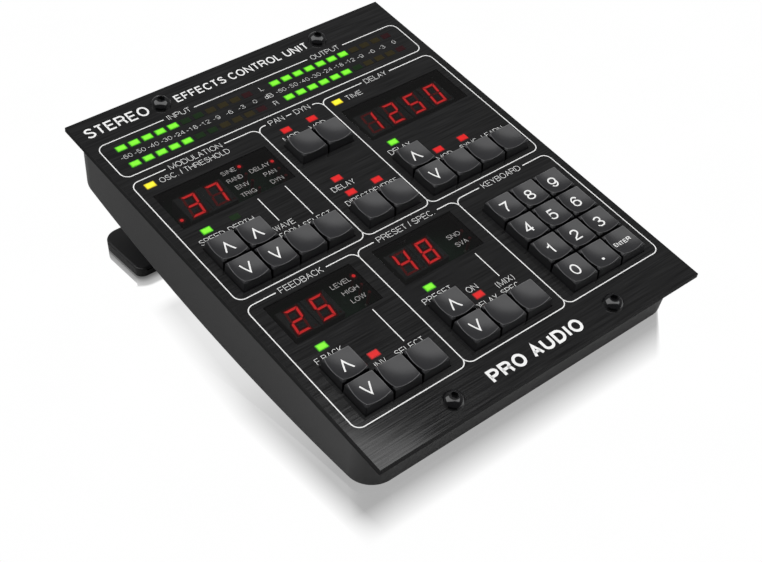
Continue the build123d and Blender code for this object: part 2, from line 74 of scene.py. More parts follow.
class Build:
    """Collects closed solids in the panel frame; a span is a (bottom, top) pair of z."""

    def __init__(self):
        self.verts, self.faces, self.slots = [], [], []

    def ring(self, points):
        start = len(self.verts)
        self.verts.extend(points)
        return list(range(start, start + len(points)))

    def face(self, indices, slot=0):
        self.faces.append(indices)
        self.slots.append(slot)

    def layer(self, outline, z, surface):
        return self.ring([(x, y, z + surface(x, y)) for x, y in outline])

    def prism(self, outline, span, slot=0, surface=flat):
        """outline runs counter-clockwise; surface(x, y) is the height it lies on."""
        low, high = (self.layer(outline, z, surface) for z in span)
        count = len(outline)
        self.face(low[::-1], slot)
        self.face(high, slot)
        for i in range(count):
            j = (i + 1) % count
            self.face([low[i], low[j], high[j], high[i]], slot)

    def ribbon(self, points, width, span, closed=False, slot=0, surface=flat):
        """A flat line of constant width along points, mitred at the bends."""
        count = len(points)
        left, right = [], []
        for i, (x, y) in enumerate(points):
            if closed:
                before, after = points[(i - 1) % count], points[(i + 1) % count]
            else:
                before, after = points[max(i - 1, 0)], points[min(i + 1, count - 1)]
            come = Vector((x - before[0], y - before[1]))
            go = Vector((after[0] - x, after[1] - y))
            if come.length < 1e-9:
                come = go
            if go.length < 1e-9:
                go = come
            come.normalize()
            go.normalize()
            normal = Vector((-come.y, come.x))
            mitre = normal + Vector((-go.y, go.x))
            if mitre.length < 1e-6:
                mitre = normal
            mitre.normalize()
            reach = width / 2 / max(mitre.dot(normal), 0.42)
            left.append((x + mitre.x * reach, y + mitre.y * reach))
            right.append((x - mitre.x * reach, y - mitre.y * reach))
        low, high = span
        left_low = self.layer(left, low, surface)
        right_low = self.layer(right, low, surface)
        left_high = self.layer(left, high, surface)
        right_high = self.layer(right, high, surface)
        for i in range(count if closed else count - 1):
            j = (i + 1) % count
            self.face([right_high[i], right_high[j], left_high[j], left_high[i]], slot)
            self.face([left_low[i], left_low[j], right_low[j], right_low[i]], slot)
            self.face([right_low[i], right_low[j], right_high[j], right_high[i]], slot)
            self.face([left_high[i], left_high[j], left_low[j], left_low[i]], slot)
        if not closed:
            self.face([right_low[0], right_high[0], left_high[0], left_low[0]], slot)
            self.face([left_low[-1], left_high[-1], right_high[-1], right_low[-1]], slot)

    def make(self, name, materials, smooth=False, origin=(0, 0)):
        mesh = bpy.data.meshes.new(name)
        ox, oy = origin
        verts = [tuple(to_world(x + ox, y + oy, z)) for x, y, z in self.verts]
        mesh.from_pydata(verts, [], self.faces)
        for material in materials:
            mesh.materials.append(MATERIALS[material])
        for polygon, slot in zip(mesh.polygons, self.slots):
            polygon.material_index = slot
            polygon.use_smooth = smooth
        mesh.validate()
        mesh.update()
        ob = bpy.data.objects.new(name, mesh)
        scene.collection.objects.link(ob)
        return ob

    def fix_to_unit(self, name, slot, materials):
        ob = self.make(name, materials)
        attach(ob, "unit")


def oval(cx, cy, rx, ry, start, end, count=None):
    """Points from angle start to end, in degrees; about 18 degrees a step unless counted."""
    count = count or max(4, int(abs(end - start) / 18))
    angles = [math.radians(start + (end - start) * i / count) for i in range(count + 1)]
    return [(cx + rx * math.cos(a), cy + ry * math.sin(a)) for a in angles]


def arc(cx, cy, radius, start, end, count=10):
    return oval(cx, cy, radius, radius, start, end, count)


def disc(cx, cy, radius, count):
    return arc(cx, cy, radius, 0, 360, count)[:-1]


def rounded_box(cx, cy, width, height, radius, count):
    x0, x1 = cx - width / 2 + radius, cx + width / 2 - radius
    y0, y1 = cy - height / 2 + radius, cy + height / 2 - radius
    return (arc(x1, y0, radius, -90, 0, count) + arc(x1, y1, radius, 0, 90, count)
            + arc(x0, y1, radius, 90, 180, count) + arc(x0, y0, radius, 180, 270, count))


def subdivide(points, pieces):
    """Cut each straight stretch into pieces(length) equal parts."""
    out = [points[0]]
    for (xa, ya), (xb, yb) in zip(points, points[1:]):
        count = pieces(math.hypot(xb - xa, yb - ya))
        out += [(xa + (xb - xa) * i / count, ya + (yb - ya) * i / count)
                for i in range(1, count + 1)]
    return out


# ---------------------------------------------------------------------------
# Lettering: a plain sans-serif drawn as strokes
# ---------------------------------------------------------------------------
# character: (advance width, strokes), each stroke laid out on a box 1 wide and 1 high
GLYPHS = {
    "A": (0.93, [[(0, 0), (0.5, 1), (1, 0)], [(0.18, 0.36), (0.82, 0.36)]]),
    "B": (0.93, [[(0, 0.53), (0, 1), (0.55, 1)] + oval(0.55, 0.765, 0.37, 0.235, 80, -80)
                 + [(0.5, 0.53), (0, 0.53), (0, 0), (0.58, 0)]
                 + oval(0.58, 0.265, 0.42, 0.265, -80, 80) + [(0.5, 0.53)]]),
    "C": (1.00, [oval(0.53, 0.5, 0.53, 0.5, 42, 318)]),
    "D": (1.00, [[(0, 0.5), (0, 1), (0.42, 1)] + oval(0.42, 0.5, 0.58, 0.5, 80, -80)
                 + [(0.42, 0), (0, 0), (0, 0.5)]]),
    "E": (0.92, [[(1, 1), (0, 1), (0, 0), (1, 0)], [(0, 0.52), (0.92, 0.52)]]),
    "F": (0.85, [[(1, 1), (0, 1), (0, 0)], [(0, 0.5), (0.88, 0.5)]]),
    "G": (1.08, [oval(0.52, 0.5, 0.52, 0.5, 42, 330), [(0.6, 0.46), (1, 0.46), (1, 0)]]),
    "H": (1.00, [[(0, 0), (0, 1)], [(1, 0), (1, 1)], [(0, 0.53), (1, 0.53)]]),
    "I": (0.39, [[(0.5, 0), (0.5, 1)]]),
    "K": (0.93, [[(0, 0), (0, 1)], [(1, 1), (0, 0.34)], [(0.35, 0.58), (1, 0)]]),
    "L": (0.78, [[(0, 1), (0, 0), (1, 0)]]),
    "M": (1.16, [[(0, 0), (0, 1), (0.5, 0.05), (1, 1), (1, 0)]]),
    "N": (1.00, [[(0, 0), (0, 1), (1, 0), (1, 1)]]),
    "O": (1.08, [oval(0.5, 0.5, 0.5, 0.5, 0, 360, 28)]),
    "P": (0.93, [[(0, 0), (0, 1), (0.58, 1)] + oval(0.58, 0.73, 0.42, 0.27, 80, -80)
                 + [(0.5, 0.46), (0, 0.46)]]),
    "R": (1.00, [[(0, 0), (0, 1), (0.58, 1)] + oval(0.58, 0.74, 0.38, 0.26, 80, -80)
                 + [(0.5, 0.48), (0, 0.48)],
                 [(0.6, 0.48), (0.82, 0.42), (0.9, 0.28), (0.92, 0.1), (1.0, 0)]]),
    "S": (0.93, [oval(0.5, 0.765, 0.44, 0.235, 18, 200) + oval(0.5, 0.765, 0.44, 0.20, 215, 262, 3)
                 + oval(0.5, 0.24, 0.5, 0.29, 78, 20, 3) + oval(0.5, 0.24, 0.5, 0.24, 0, -165)]),
    "T": (0.85, [[(0, 1), (1, 1)], [(0.5, 1), (0.5, 0)]]),
    "U": (1.00, [[(0, 1)] + oval(0.5, 0.36, 0.5, 0.36, 180, 360) + [(1, 1)]]),
    "V": (0.93, [[(0, 1), (0.5, 0), (1, 1)]]),
    "W": (1.31, [[(0, 1), (0.26, 0), (0.5, 1), (0.74, 0), (1, 1)]]),
    "X": (0.93, [[(0, 0), (1, 1)], [(0, 1), (1, 0)]]),
    "Y": (0.93, [[(0, 1), (0.5, 0.43), (1, 1)], [(0.5, 0.45), (0.5, 0)]]),
    "0": (0.77, [oval(0.5, 0.5, 0.5, 0.5, 0, 360, 28)]),
    "1": (0.77, [[(0.08, 0.74), (0.32, 0.77), (0.5, 0.86), (0.56, 1), (0.56, 0)]]),
    "2": (0.77, [oval(0.49, 0.7, 0.47, 0.3, 172, -32)
                 + [(0.55, 0.36), (0.2, 0.2), (0.02, 0), (1, 0)]]),
    "3": (0.77, [oval(0.48, 0.765, 0.42, 0.235, 160, -60) + [(0.42, 0.53)],
                 [(0.42, 0.53)] + oval(0.48, 0.265, 0.5, 0.265, 70, -165)]),
    "4": (0.77, [[(0.74, 0), (0.74, 1), (0, 0.29), (1, 0.29)]]),
    "5": (0.77, [[(0.92, 1), (0.2, 1), (0.1, 0.48)] + oval(0.48, 0.33, 0.5, 0.33, 135, -160)]),
    "6": (0.77, [oval(0.53, 0.55, 0.5, 0.45, 35, 200) + oval(0.5, 0.32, 0.5, 0.32, 190, 520, 22)]),
    "7": (0.77, [[(0, 1), (1, 1), (0.72, 0.66), (0.5, 0.34), (0.4, 0)]]),
    "8": (0.77, [oval(0.5, 0.765, 0.41, 0.235, -90, 270, 20),
                 oval(0.5, 0.265, 0.5, 0.265, -90, 270, 20)]),
    "9": (0.77, [oval(0.47, 0.45, 0.5, 0.45, 215, 380) + oval(0.5, 0.68, 0.5, 0.32, 10, 340, 22)]),
    "d": (0.77, [[(1, 0), (1, 1)], oval(0.5, 0.34, 0.46, 0.34, 0, 360, 22)]),
    "-": (0.50, [[(0.0, 0.40), (1, 0.40)]]),
    "/": (0.42, [[(0, -0.03), (1, 1.03)]]),
    "(": (0.46, [oval(1.1, 0.45, 1.0, 0.68, 125, 235)]),
    ")": (0.46, [oval(-0.1, 0.45, 1.0, 0.68, 55, -55)]),
    ".": (0.39, []),
    " ": (0.39, []),
}
BEARING = 0.075        # blank margin each side of a glyph, in layout units
CURVED_STEP = 1.2      # strokes on a curved surface are cut to about this length, mm


def text(build, words, cx, cy, *, height, width, stroke, span=PANEL_INK, slot=0, surface=flat):
    """Words centred on (cx, cy); stroke is the line width as a share of the capital height."""
    total = sum(GLYPHS[c][0] for c in words) - 2 * BEARING
    unit = width / total                # mm per layout unit across
    line_width = stroke * height
    line_units = line_width / unit
    pen = cx - total * unit / 2 - BEARING * unit
    base = cy - height / 2
    for c in words:
        advance, strokes = GLYPHS[c]
        box_width = (advance - 2 * BEARING - line_units) * unit
        left = pen + (BEARING + line_units / 2) * unit
        for stroke_points in strokes:
            line = [(left + u * box_width, base + line_width / 2 + v * (height - line_width))
                    for u, v in stroke_points]
            if surface is not flat:
                line = subdivide(line, lambda length: max(1, int(length / CURVED_STEP)))
            ends_apart = math.hypot(line[0][0] - line[-1][0], line[0][1] - line[-1][1])
            closed = len(line) > 4 and ends_apart < 1e-6
            build.ribbon(line[:-1] if closed else line, line_width, span, closed, slot, surface)
        if c == ".":
            half = line_width * 0.55
            x0, x1 = left + box_width / 2 - half, left + box_width / 2 + half
            top = base + 2 * half
            build.prism([(x0, base), (x1, base), (x1, top), (x0, top)], span, slot, surface)
        pen += advance * unit


# ---------------------------------------------------------------------------
# Shader helpers
# ---------------------------------------------------------------------------
MATERIALS = {}


def new_material(name):
    material = bpy.data.materials.new(name)
    material.use_nodes = True
    material.node_tree.nodes.clear()
    MATERIALS[name] = material
    return material.node_tree


def add_node(tree, kind, inputs=None, **settings):
    """Add a node; inputs maps sockets to values, or to the outputs that feed them."""
    node = tree.nodes.new(kind)
    for key, value in settings.items():
        setattr(node, key, value)
    for key, value in (inputs or {}).items():
        if isinstance(value, bpy.types.NodeSocket):
            tree.links.new(value, node.inputs[key])
        else:
            node.inputs[key].default_value = value
    return node


def output(tree, shader):
    add_node(tree, "ShaderNodeOutputMaterial", {0: shader.outputs[0]})


def principled(tree, inputs):
    return add_node(tree, "ShaderNodeBsdfPrincipled", inputs)


def mix_shaders(tree, factor, first, second):
    return add_node(tree, "ShaderNodeMixShader",
                    {0: factor, 1: first.outputs[0], 2: second.outputs[0]})


def object_coords(tree):
    return add_node(tree, "ShaderNodeTexCoord").outputs["Object"]


def noise(tree, coords, scale, detail, roughness=0.5, **settings):
    inputs = {"Vector": coords, "Scale": scale, "Detail": detail, "Roughness": roughness}
    return add_node(tree, "ShaderNodeTexNoise", inputs, **settings).outputs["Fac"]


def math_node(tree, operation, first, second=None, clamp=False):
    inputs = {0: first} if second is None else {0: first, 1: second}
    node = add_node(tree, "ShaderNodeMath", inputs, operation=operation, use_clamp=clamp)
    return node.outputs[0]


def map_range(tree, value, source, target=(0.0, 1.0), **settings):
    inputs = {0: value, "From Min": source[0], "From Max": source[1],
              "To Min": target[0], "To Max": target[1]}
    return add_node(tree, "ShaderNodeMapRange", inputs, **settings).outputs[0]


def ramp(tree, factor, stops):
    """Colour ramp from (position, colour) stops."""
    node = add_node(tree, "ShaderNodeValToRGB", {0: factor})
    elements = node.color_ramp.elements
    for i, (position, colour) in enumerate(stops):
        if i < 2:
            elements[i].position = position
            elements[i].color = (*colour, 1)
        else:
            elements.new(position).color = (*colour, 1)
    return node.outputs[0]


def grey_ramp(tree, factor, stops):
    return ramp(tree, factor, [(position, (value,) * 3) for position, value in stops])


def bump(tree, height, strength, distance, bevel=0.0):
    node = add_node(tree, "ShaderNodeBump",
                    {"Height": height, "Strength": strength, "Distance": distance})
    if bevel:
        edge = add_node(tree, "ShaderNodeBevel", {"Radius": bevel}, samples=4)
        tree.links.new(edge.outputs[0], node.inputs["Normal"])
    return node.outputs[0]


def scaled(colour, factor):
    return tuple(c * factor for c in colour)


# ---------------------------------------------------------------------------
# Materials
# ---------------------------------------------------------------------------
def moulded(name, colour, rough, grain, depth, vary, specular=0.5, bevel=0.0):
    """Moulded plastic or rubber: fine texture, slight cloudiness, roughness that drifts."""
    tree = new_material(name)
    coords = object_coords(tree)
    cloud = noise(tree, coords, scale=45.0, detail=4.0, roughness=0.6)
    fine = noise(tree, coords, scale=float(grain), detail=2.0)
    output(tree, principled(tree, {
        "Base Color": ramp(tree, cloud, [(0.3, scaled(colour, 1 - vary)),
                                         (0.7, scaled(colour, 1 + vary))]),
        "Roughness": grey_ramp(tree, fine, [(0.25, max(rough - 0.06, 0.05)),
                                            (0.75, rough + 0.06)]),
        "Specular IOR Level": specular,
        "Coat Roughness": 0.15,
        "Normal": bump(tree, fine, depth, distance=0.00005, bevel=bevel),
    }))


def metal(name, colour, rough):
    tree = new_material(name)
    grain = noise(tree, object_coords(tree), scale=3000.0, detail=3.0)
    output(tree, principled(tree, {
        "Metallic": 1.0,
        "Base Color": ramp(tree, grain, [(0.3, scaled(colour, 1 - 0.1)),
                                         (0.7, scaled(colour, 1 + 0.1))]),
        "Roughness": grey_ramp(tree, grain, [(0.3, rough * 0.8), (0.7, rough * 1.25)]),
        "Normal": bump(tree, grain, strength=0.1, distance=0.00003),
    }))


def glow(name, colour, strength, dim):
    """A lit plastic lens: uneven emission that drops to dim times the colour."""
    tree = new_material(name)
    uneven = noise(tree, object_coords(tree), scale=900.0, detail=2.0)
    output(tree, principled(tree, {
        "Base Color": (*scaled(colour, 0.1), 1),
        "Roughness": 0.40,
        "Specular IOR Level": 0.3,
        "Emission Color": ramp(tree, uneven, [(0.3, scaled(colour, dim)), (0.65, colour)]),
        "Emission Strength": strength,
    }))


def brushed_panel():
    """Black brushed sheet: streaks run along the panel's x, the cut edges are dull."""
    colour, rough, specular = (0.0065, 0.0065, 0.0067), 0.085, 0.405
    edge_colour, edge_rough, edge_specular = (0.0150, 0.0150, 0.0152), 0.7, 0.02
    vary = 0.32                     # swing of colour and specular between streaks
    streak_range = (0.34, 0.66)     # useful part of the summed noise
    # scale along x, scale across, weight: hair-fine, fine and broad lines
    streaks = ((60.0, 4300.0, 0.60), (55.0, 2200.0, 0.32), (14.0, 420.0, 0.08))
    tree = new_material("panel_black_brushed")

    lines = 0.0
    for along, across, weight in streaks:
        in_panel = add_node(tree, "ShaderNodeMapping",
                            {"Vector": object_coords(tree), "Rotation": (-TILT, 0, 0)})
        stretched = add_node(tree, "ShaderNodeMapping",
                             {"Vector": in_panel.outputs[0], "Scale": (along, across, 1.0)})
        streak = noise(tree, stretched.outputs[0], scale=1.0, detail=0.0, noise_dimensions="2D")
        lines = add_node(tree, "ShaderNodeMath", {0: streak, 1: weight, 2: lines},
                         operation="MULTIPLY_ADD").outputs[0]

    # 1 on the panel's face, 0 on its cut edges
    normal = add_node(tree, "ShaderNodeNewGeometry").outputs["True Normal"]
    facing = add_node(tree, "ShaderNodeVectorMath", {0: normal, 1: (0.0, -SIN_TILT, COS_TILT)},
                      operation="DOT_PRODUCT").outputs["Value"]
    on_face = map_range(tree, facing, (0.75, 0.95), interpolation_type="SMOOTHSTEP")

    def by_face(edge, low, high):
        face = map_range(tree, lines, streak_range, (low, high))
        return add_node(tree, "ShaderNodeMix", {0: on_face, 2: edge, 3: face},
                        data_type="FLOAT").outputs[0]

    shade = ramp(tree, lines, [(streak_range[0], scaled(colour, 1 - vary)),
                               (streak_range[1], scaled(colour, 1 + vary))])
    tint = add_node(tree, "ShaderNodeMix", {0: on_face, 6: (*edge_colour, 1), 7: shade},
                    data_type="RGBA")
    output(tree, principled(tree, {
        "Base Color": tint.outputs[2],
        "Roughness": by_face(edge_rough, rough * 0.75, rough * 1.25),
        "Specular IOR Level": by_face(edge_specular, specular * (1 - vary),
                                      specular * (1 + vary)),
        "Tangent": add_node(tree, "ShaderNodeCombineXYZ", {0: 1.0}).outputs[0],
        "Normal": bump(tree, lines, strength=0.015, distance=0.00002),
    }))


def smoked_window():
    """Smoked window: lets some light through and has a polished front face."""
    tint, rough = 0.56, 0.03
    tree = new_material("window_smoked")
    cloud = noise(tree, object_coords(tree), scale=60.0, detail=2.0)
    clear = add_node(tree, "ShaderNodeBsdfTransparent",
                     {"Color": grey_ramp(tree, cloud, [(0.3, tint * 0.94), (0.7, tint)])})
    polished = principled(tree, {
        "Base Color": (0.0106, 0.0102, 0.0102, 1),
        "Roughness": grey_ramp(tree, cloud, [(0.3, rough), (0.7, rough + 0.05)]),
    })
    fresnel = add_node(tree, "ShaderNodeFresnel", {"IOR": 1.45}).outputs[0]
    reflect = map_range(tree, fresnel, (0.0, 1.0), (0.30, 1.0))
    backfacing = add_node(tree, "ShaderNodeNewGeometry").outputs["Backfacing"]
    front = math_node(tree, "SUBTRACT", 1.0, backfacing)
    factor = math_node(tree, "MULTIPLY", reflect, front)
    output(tree, mix_shaders(tree, factor, clear, polished))


# name, colour, roughness, grain scale, grain depth, colour variation, specular (0.5 if
# left out), bevel radius in m (none if left out)
for row in (
    ("case_dark_plastic", (0.0078, 0.0078, 0.0080), 0.42, 7000, 0.05, 0.10, 0.18, 0.0005),
    ("key_satin_plastic", (0.0115, 0.0115, 0.0128), 0.38, 9000, 0.03, 0.05, 0.37),
    # the crest of each key's rim: a lighter band, partly wear and partly a painted highlight
    ("key_crest_wear_and_highlight", (0.030, 0.030, 0.032), 0.30, 9000, 0.03, 0.15, 0.55),
    # the keys' sides: matt, and darker than the top as painted shade
    ("key_side_matt_painted_shade", (0.0092, 0.0092, 0.0102), 0.50, 7000, 0.04, 0.08, 0.27),
    # key sides that face a neighbour: painted shade between the keys
    ("key_shaded_side", (0.0022, 0.0022, 0.0025), 0.60, 7000, 0.03, 0.08, 0.05),
    ("ink_white", (0.57, 0.57, 0.565), 0.55, 6000, 0.03, 0.04, 0.3),
    ("ink_grey", (0.30, 0.292, 0.288), 0.5, 6000, 0.03, 0.05, 0.3),
    ("screw_black_oxide", (0.006, 0.006, 0.0065), 0.10, 5000, 0.02, 0.2),
    ("digit_face", (0.102, 0.110, 0.110), 0.5, 6000, 0.05, 0.15),
    ("segment_dark", (0.80, 0.035, 0.035), 0.4, 4000, 0.03, 0.1),
    ("decimal_point_dark", (0.16, 0.030, 0.030), 0.4, 4000, 0.03, 0.1),
    ("dot_dark", (0.36, 0.028, 0.028), 0.4, 4000, 0.03, 0.1),
    ("lens_green_dark", (0.0039, 0.0129, 0.0029), 0.35, 4000, 0.03, 0.1, 0.12),
    ("lens_amber_dark", (0.0166, 0.0129, 0.0039), 0.35, 4000, 0.03, 0.1, 0.12),
    ("lens_red_dark", (0.0158, 0.0029, 0.0039), 0.35, 4000, 0.03, 0.1, 0.12),
    ("lens_yellow_dark", (0.2, 0.16, 0.01), 0.35, 4000, 0.03, 0.1),
    ("rubber_black", (0.018, 0.018, 0.018), 0.78, 3500, 0.25, 0.15),
    ("stand_black_plastic", (0.0064, 0.0064, 0.0068), 0.45, 6000, 0.08, 0.1, 0.31, 0.0004),
    ("underside_plate_paint", (0.030, 0.030, 0.031), 0.55, 2500, 0.35, 0.12),
    ("board_solder_mask", (0.012, 0.075, 0.035), 0.35, 2500, 0.15, 0.25),
    ("chip_epoxy", (0.02, 0.02, 0.02), 0.5, 5000, 0.2, 0.1),
    ("switch_body", (0.03, 0.03, 0.032), 0.5, 5000, 0.1, 0.1),
    ("chip_led_body", (0.6, 0.6, 0.52), 0.3, 4000, 0.05, 0.08),
):
    moulded(*row)

# name, colour, roughness
for row in (
    ("magnet_nickel", (0.62, 0.60, 0.57), 0.22), ("insert_brass", (0.72, 0.52, 0.22), 0.30),
    ("screw_zinc", (0.55, 0.55, 0.56), 0.30), ("socket_tin", (0.50, 0.50, 0.52), 0.28),
):
    metal(*row)

# name, colour, emission strength, colour factor in the dim patches
for row in (
    ("segment_lit", (1.0, 0.031, 0.032), 2.35, 0.9),
    ("dot_lit", (1.0, 0.032, 0.034), 2.50, 0.9),
    ("segment_spill_near", (1.0, 0.02, 0.02), 0.135, 0.75),
    ("segment_spill_far", (1.0, 0.02, 0.02), 0.042, 0.75),
    ("lens_green_lit", (0.195, 1.0, 0.014), 0.70, 0.75),
    ("lens_red_lit", (1.0, 0.006, 0.008), 0.56, 0.75),
    ("lens_yellow_lit", (1.0, 0.84, 0.012), 0.86, 0.75),
    ("lens_green_middle", (0.235, 1.0, 0.030), 0.98, 0.85),
    ("lens_red_middle", (1.0, 0.004, 0.005), 0.66, 0.85),
    ("lens_yellow_middle", (1.0, 0.88, 0.030), 1.12, 0.85),
    ("lens_green_spill", (0.06, 1.0, 0.0), 0.085, 0.75),
    ("lens_red_spill", (1.0, 0.01, 0.01), 0.070, 0.75),
    ("lens_yellow_spill", (1.0, 0.70, 0.0), 0.070, 0.75),
):
    glow(*row)

brushed_panel()
smoked_window()

# CAD piece: material
PAINT = {
    "front_panel": "panel_black_brushed", "case_shell": "case_dark_plastic",
    "base_plate": "underside_plate_paint", "panel_screws": "screw_black_oxide",
    "screw_inserts": "insert_brass", "main_pcb": "board_solder_mask",
    "pcb_screws": "screw_zinc", "tact_switches": "switch_body",
    "digit_modules": "digit_face", "modulation_window": "window_smoked",
    "delay_window": "window_smoked", "feedback_window": "window_smoked",
    "preset_window": "window_smoked", "lenses_green": "lens_green_dark",
    "lenses_amber": "lens_amber_dark", "lenses_red": "lens_red_dark",
    "lenses_yellow": "lens_yellow_dark", "window_dot_pipes": "dot_dark",
    "chip_leds": "chip_led_body", "controller_chips": "chip_epoxy",
    "usb_socket": "socket_tin", "front_foot_strip": "rubber_black",
    "tilt_stand": "stand_black_plastic", "stand_magnets": "magnet_nickel",
    "stand_sole": "rubber_black",
}
for name, material in PAINT.items():
    slots = nodes[name].data.materials
    slots.clear()
    slots.append(MATERIALS[material])

# ---------------------------------------------------------------------------
# Keycaps: dished caps with softened rims, one per key; z = 0 is the panel face
# ---------------------------------------------------------------------------
KEY_PITCH = 11.05
UPPER_ROW, LOWER_ROW = -3.7, -61.5     # y of the bottom row of keys in the two tiers of boxes
# x and y of the group's front left key, then (key, column, row, legend)
KEY_GROUPS = (
    (-55.08, UPPER_ROW, (("mod_speed_up", 0, 1, "up"), ("mod_depth_up", 1, 1, "up"),
                         ("mod_speed_down", 0, 0, "down"), ("mod_depth_down", 1, 0, "down"))),
    (-33.05, UPPER_ROW, (("mod_wave_form", 0, 0, ""), ("mod_select", 1, 0, ""))),
    (-5.27, 31.9, (("pan_mod", 0, 0, ""), ("dyn_mod", 1, 0, ""))),
    (-5.27, UPPER_ROW, (("pan_direct", 0, 0, ""), ("dyn_reverse", 1, 0, ""))),
    (22.45, UPPER_ROW, (("delay_up", 0, 1, "up"), ("delay_down", 0, 0, "down"),
                        ("delay_mod", 1, 0, ""), ("delay_sync", 2, 0, ""),
                        ("delay_learn", 3, 0, ""))),
    (-53.55, LOWER_ROW, (("fb_up", 0, 1, "up"), ("fb_down", 0, 0, "down"),
                         ("fb_invert", 1, 0, ""), ("fb_select", 2, 0, ""))),
    (-10.85, LOWER_ROW, (("preset_up", 0, 1, "up"), ("preset_down", 0, 0, "down"),
                         ("preset_delay_on", 1, 0, ""), ("preset_special", 2, 0, ""))),
    (31.95, LOWER_ROW, (("pad_0", 0, 0, "0"), ("pad_point", 1, 0, "."),
                        ("pad_enter", 2, 0, "ENTER"),
                        ("pad_1", 0, 1, "1"), ("pad_2", 1, 1, "2"), ("pad_3", 2, 1, "3"),
                        ("pad_4", 0, 2, "4"), ("pad_5", 1, 2, "5"), ("pad_6", 2, 2, "6"),
                        ("pad_7", 0, 3, "7"), ("pad_8", 1, 3, "8"), ("pad_9", 2, 3, "9"))),
)
KEYS = [(key, x + KEY_PITCH * column, y + KEY_PITCH * row, legend)
        for x, y, members in KEY_GROUPS for key, column, row, legend in members]

KEY_HALF = 5.3                   # half width at the foot
SHOULDER_HALF = 5.12             # half width where the sloping rim starts
KEY_CORNER = 0.30                # corner radius, outside and in the hollow
KEY_LOW, SHOULDER, KEY_TOP = -1.5, 3.05, 3.8
RIM_INSET = 0.60                 # the rim's slope runs in by this much up to KEY_TOP
DISH_RADIUS, DISH_LOW = 14.0, 2.25
STEM_RADIUS, STEM_LOW, STEM_CHAMFER = 1.65, -6.4, 0.12
BOSS_RADIUS = 2.3                # solid middle around the stem
HOLLOW_HALF, HOLLOW_TOP = 4.3, 1.1
TAPER_LOW, TAPER_TOP = 0.30, SHOULDER - 0.10
LEAN, LEAN_HEIGHT = 0.22, 2.6    # the cap moves back by LEAN over this height
CREST_STEPS = 5
CORNERS = ((1, -1), (1, 1), (-1, 1), (-1, -1))
KEY_MATERIALS = ("key_satin_plastic", "ink_white", "key_crest_wear_and_highlight", "key_side_matt_painted_shade",
                 "key_shaded_side")
TOP_SLOT, INK_SLOT, EDGE_SLOT, SIDE_SLOT, SHADED_SLOT = range(5)


def dish(x, y):
    sphere = DISH_LOW + DISH_RADIUS - math.sqrt(max(DISH_RADIUS ** 2 - x * x - y * y, 1.0))
    return min(sphere, KEY_TOP)


def key_surface(x, y):
    return dish(x, y - LEAN)


def square_ring(half):
    """Rounded square outline with the same number of points for every size."""
    points = []
    centre = half - KEY_CORNER
    for k, (sx, sy) in enumerate(CORNERS):
        start = -90 + 90 * k
        bend = arc(sx * centre, sy * centre, KEY_CORNER, start, start + 90, 5)
        angle = math.radians(start + 90)
        next_sx, next_sy = CORNERS[(k + 1) % 4]
        side_end = (next_sx * centre + KEY_CORNER * math.cos(angle),
                    next_sy * centre + KEY_CORNER * math.sin(angle))
        points += bend
        points += subdivide([bend[-1], side_end], lambda length: 9)[1:-1]
    return points


SLOPE_FOOT, SLOPE_HEAD = square_ring(SHOULDER_HALF), square_ring(SHOULDER_HALF - RIM_INSET)


def slope_point(i, t):
    """Point i of the outline, t of the way up the rim's slope."""
    (x0, y0), (x1, y1) = SLOPE_FOOT[i], SLOPE_HEAD[i]
    return x0 + (x1 - x0) * t, y0 + (y1 - y0) * t, SHOULDER + (KEY_TOP - SHOULDER) * t


def bezier(start, middle, end, u):
    return (1 - u) ** 2 * start + 2 * u * (1 - u) * middle + u * u * end


def rim_controls(i):
    """Curve over the crest at point i: a point on the slope, the crest, a point in the dish."""
    low, high = 0.0, 1.0
    for _ in range(30):
        middle = (low + high) / 2
        x, y, z = slope_point(i, middle)
        if z < dish(x, y):
            low = middle
        else:
            high = middle
    x, y, z = slope_point(i, low)
    crest = Vector((x, y, z))
    outer = Vector(slope_point(i, max(low - 0.09, 0.0)))
    inward = crest + Vector((-x, -y, 0)).normalized() * 0.17
    return outer, crest, Vector((inward.x, inward.y, dish(inward.x, inward.y)))


